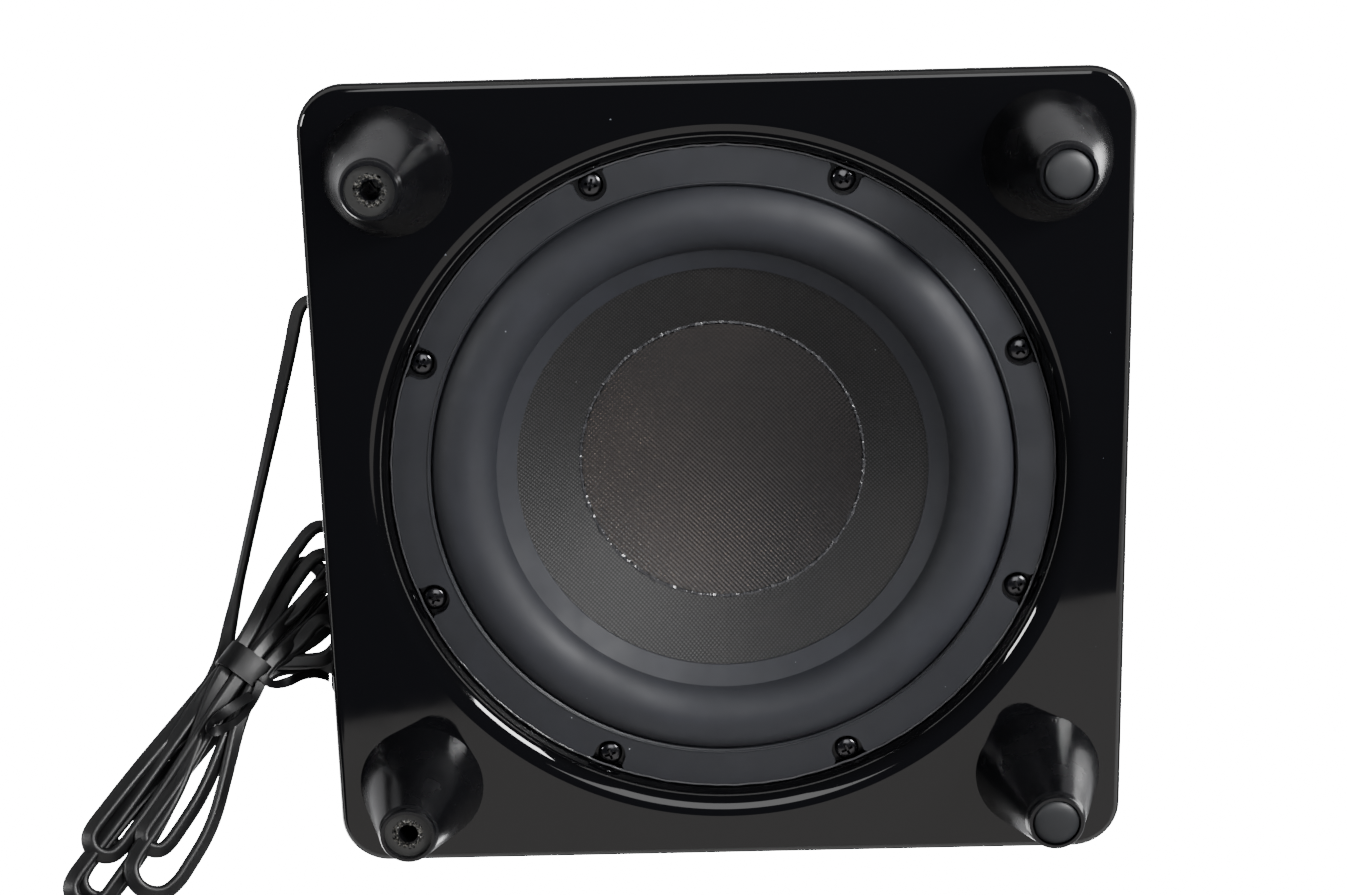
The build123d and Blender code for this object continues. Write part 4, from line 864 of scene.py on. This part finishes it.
def bead(shape):
    """A run of glue whose thickness wanders slowly, with lumps and beads on it."""
    cap_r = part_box("dust_cap")[1].x / MM
    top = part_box("cap_bead")[0].z / MM
    rows = []
    for k in range(900):
        a = math.tau * k / 900
        wave = Vector((math.cos(a), math.sin(a), 0))
        slow, lumps, grains = noise.noise(wave * 9), noise.noise(wave * 31), noise.noise(wave * 90)
        fat = max(0.12, 0.78 + 0.5 * slow + 0.45 * lumps + 0.3 * grains)
        row = []
        for j in range(7):
            b = math.tau * j / 7
            ragged = 0.45 * noise.noise(wave * 80 + Vector((0, 0, b)))
            r = cap_r + BEAD_R + BEAD_R * fat * math.cos(b) + ragged
            z = top + BEAD_R + BEAD_R * fat * math.sin(b)
            row.append(at(r * math.cos(a), r * math.sin(a), z))
        rows.append(row)
    grid(shape, rows)


glue_bead = finished("glue_bead", from_bmesh("glue_bead", bead), "glue", "driver_cone", smooth=20)
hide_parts("cap_bead")


# Rear feet: the film of glue in each socket and its ragged edge round the screw bore

SOCKET_FACE_Z, SOCKET_FLOOR_Z = 3.3, 3.6


def remains(x, y, inner, outer, ragged, lumps, seed):
    """A ring in a foot's socket whose inner edge and face are as uneven as asked."""
    def build(shape):
        rows = []
        for i in range(9):
            row = []
            for k in range(96):
                a = math.tau * k / 96
                way = Vector((math.cos(a), math.sin(a), 0))
                bays = noise.noise(way * 2.4 + Vector((seed, 0, 0)))
                teeth = 0.8 * noise.noise(way * 8 + Vector((seed, 4, 0)))
                edge = inner + ragged * (bays + teeth)
                r = edge + (outer - edge) * i / 8
                lump = noise.noise(Vector((r * math.cos(a) * 1.2, r * math.sin(a) * 1.2, seed)))
                z = SOCKET_FACE_Z - lumps * max(0.0, lump) * (1 - i / 8)
                row.append(at(x + r * math.cos(a), y + r * math.sin(a), z))
            rows.append(row)
        rows.append([Vector((p.x, p.y, SOCKET_FLOOR_Z * MM)) for p in rows[-1]])
        rows.append([Vector((p.x, p.y, SOCKET_FLOOR_Z * MM)) for p in rows[0]])
        grid(shape, rows)
    return build


FOOT_OFFSET = 105.0
for side, x in (("left", -FOOT_OFFSET), ("right", FOOT_OFFSET)):
    flat_ring = remains(x, FOOT_OFFSET, inner=4.6, outer=7.75, ragged=0.1, lumps=0.1, seed=x * 0.1)
    film = from_bmesh(f"glue_film_{side}", flat_ring)
    finished(f"glue_film_{side}", film, "glue_film", smooth=25)
    lumpy_ring = remains(x, FOOT_OFFSET, inner=3.5, outer=5.3, ragged=0.6, lumps=1.9, seed=x * 0.1 + 3)
    crumbs = from_bmesh(f"glue_crumbs_{side}", lumpy_ring)
    finished(f"glue_crumbs_{side}", crumbs, "glue_remains", smooth=25)


# Front feet: domed rubber pads

PAD_R = 7.6
PAD_PROFILE = [(0, 0), (2, 0.05), (4, 0.25), (5.4, 0.55), (6.4, 0.95), (7.0, 1.35), (7.4, 1.85), (7.55, 2.3),
               (7.55, 3.55), (0, 3.55)]
pad_low, pad_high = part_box("foot_pads")
pad_places = [Vector((x, pad_low.y + PAD_R * MM, 0))
              for x in (pad_low.x + PAD_R * MM, pad_high.x - PAD_R * MM)]
pad_mesh = from_bmesh("pad", lambda shape: spun(shape, PAD_PROFILE, 64))
pads = repeated("domed_pads", pad_mesh, pad_places, (0, 0, 0),
                spin=0.0, seed=1, look="pad_rubber", smooth=50)
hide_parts("foot_pads")


# Studio: a pale floor that shows only from above, soft lights, and a grey card for the gloss to mirror

def floor():
    """The floor. Right under the object it lets reflections through to the lights below."""
    mesh = bpy.data.meshes.new("studio_floor")
    reach = 14.0
    corners = [(-reach, -reach, 0), (reach, -reach, 0), (reach, reach, 0), (-reach, reach, 0)]
    mesh.from_pydata(corners, [], [(0, 1, 2, 3)])
    piece = bpy.data.objects.new("studio_floor", mesh)
    bpy.context.scene.collection.objects.link(piece)
    paint = Finish("studio_floor", "e4e4e2", 0.9)
    clear = paint.add("BsdfTransparent")
    # Seen from below, the whole floor is clear.
    side = paint.add("NewGeometry").outputs["Backfacing"]
    half_x, half_y, middle_y = 0.168, 0.215, 0.035  # the patch under the object and its cord
    spot = paint.place((1 / half_x, 1 / half_y, 0), (0, middle_y, 0))
    axes = paint.add("SeparateXYZ", {0: paint.add("VectorMath", {0: spot}, operation="ABSOLUTE").outputs[0]})
    mirrored = paint.add("LightPath").outputs["Is Glossy Ray"]
    edge = paint.math("MAXIMUM", axes.outputs[0], axes.outputs[1])
    under = paint.math("MULTIPLY", paint.span(edge, 0.95, 1.0, 1.0, 0.0), mirrored)
    hidden = paint.math("MAXIMUM", side, under)
    mix = paint.add("MixShader", {0: hidden, 1: paint.shader.outputs[0], 2: clear.outputs[0]})
    paint.tree.links.new(mix.outputs[0], paint.tree.nodes["Material Output"].inputs["Surface"])
    mesh.materials.append(paint.material)
    piece.visible_shadow = piece.visible_diffuse = False
    piece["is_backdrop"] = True


def card(name, corners, colour, strength):
    """A flat card that only reflections see."""
    mesh = bpy.data.meshes.new(name)
    mesh.from_pydata(corners, [], [tuple(range(len(corners)))])
    piece = bpy.data.objects.new(name, mesh)
    bpy.context.scene.collection.objects.link(piece)
    paint = Finish(name, "000000", 1.0, Emission_Color=linear(colour), Emission_Strength=strength)
    mesh.materials.append(paint.material)
    piece.visible_camera = piece.visible_diffuse = piece.visible_shadow = False
    piece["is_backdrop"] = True


def softbox(name, place, target, size, power, colour="ffffff"):
    """A soft rectangular lamp at a place, turned to a target, that the camera doesn't see."""
    light = bpy.data.lights.new(name, "AREA")
    light.shape = "RECTANGLE"
    light.size, light.size_y = size
    light.energy = power
    light.color = linear(colour)[:3]
    lamp = bpy.data.objects.new(name, light)
    bpy.context.scene.collection.objects.link(lamp)
    lamp.location = place
    lamp.rotation_euler = (Vector(target) - Vector(place)).to_track_quat("-Z", "Y").to_euler()
    lamp.visible_camera = False
    return lamp


def surroundings():
    """The room: dim below, darkest level with the object and pale overhead. The camera sees white."""
    world = bpy.data.worlds.new("studio")
    bpy.context.scene.world = world
    world.use_nodes = True
    tree = world.node_tree
    tree.nodes.clear()
    place = tree.nodes.new("ShaderNodeTexCoord")
    axes = tree.nodes.new("ShaderNodeSeparateXYZ")
    tree.links.new(place.outputs["Generated"], axes.inputs[0])
    ramp = tree.nodes.new("ShaderNodeValToRGB")
    below, above = ramp.color_ramp.elements
    below.position, below.color = 0.0, (0.105, 0.108, 0.135, 1)
    above.position, above.color = 1.0, (0.9, 0.9, 0.92, 1)
    for position, level in ((0.47, 0.06), (0.62, 0.25)):
        stop = ramp.color_ramp.elements.new(position)
        stop.color = (level, level, level * 1.06, 1)
    half = tree.nodes.new("ShaderNodeMath")
    half.operation = "MULTIPLY_ADD"
    half.inputs[1].default_value = half.inputs[2].default_value = 0.5
    tree.links.new(axes.outputs[2], half.inputs[0])
    tree.links.new(half.outputs[0], ramp.inputs[0])
    kinds = ("Background", "Background", "MixShader", "OutputWorld")
    lit, seen, mix, end = [tree.nodes.new("ShaderNode" + kind) for kind in kinds]
    tree.links.new(ramp.outputs[0], lit.inputs[0])
    seen.inputs[0].default_value = (1, 1, 1, 1)
    seen.inputs[1].default_value = 22.0  # strong enough for the view transform to end at white
    path = tree.nodes.new("ShaderNodeLightPath")
    tree.links.new(path.outputs["Is Camera Ray"], mix.inputs[0])
    tree.links.new(lit.outputs[0], mix.inputs[1])
    tree.links.new(seen.outputs[0], mix.inputs[2])
    tree.links.new(mix.outputs[0], end.inputs[0])


floor()
surroundings()
middle = at(0, 0, 60)
card("grey_card", [(0.700, 0.45, -1.5), (0.560, -0.45, -1.5), (0.45, -1.4, -1.5), (2.6, -1.4, -1.5),
                   (2.6, 1.4, -1.5), (0.86, 1.4, -1.5)], "d2cfcd", 1.45)
# Two boxes give the lip and the feet their highlights. The sheen and the fill light the driver's dull
# surfaces, and the warm box lights the cap alone. The last three light the cabinet's top and walls.
softbox("upper_right_box", (-0.72, -1.00, -0.82), middle, (0.42, 0.42), 34)
softbox("upper_left_box", (-0.28, 1.15, -0.60), middle, (0.24, 0.24), 6.5)
softbox("front_sheen", (-0.50, -0.05, -1.10), middle, (0.66, 0.66), 4.5)
fill = softbox("front_fill", (-0.05, -1.00, -1.00), middle, (0.9, 0.9), 21)
fill.visible_glossy = False
warm = softbox("warm_cap_box", (0.0, -0.46, -1.15), at(22, 22, 75), (0.12, 0.12), 2.6, "ffe4d0")
warmed = bpy.data.collections.new("warmed")
warmed.objects.link(nodes["dust_cap"])
warm.light_linking.receiver_collection = warmed
softbox("overhead_box", (0.2, -0.3, 2.2), (0, 0, 0.2), (2.2, 2.2), 70)
softbox("front_box", (-0.3, -2.3, 1.1), (0, 0, 0.2), (1.2, 1.2), 35)
softbox("rear_box", (1.6, 1.9, 1.2), (0, 0, 0.2), (1.2, 1.2), 35)

low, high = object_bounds()
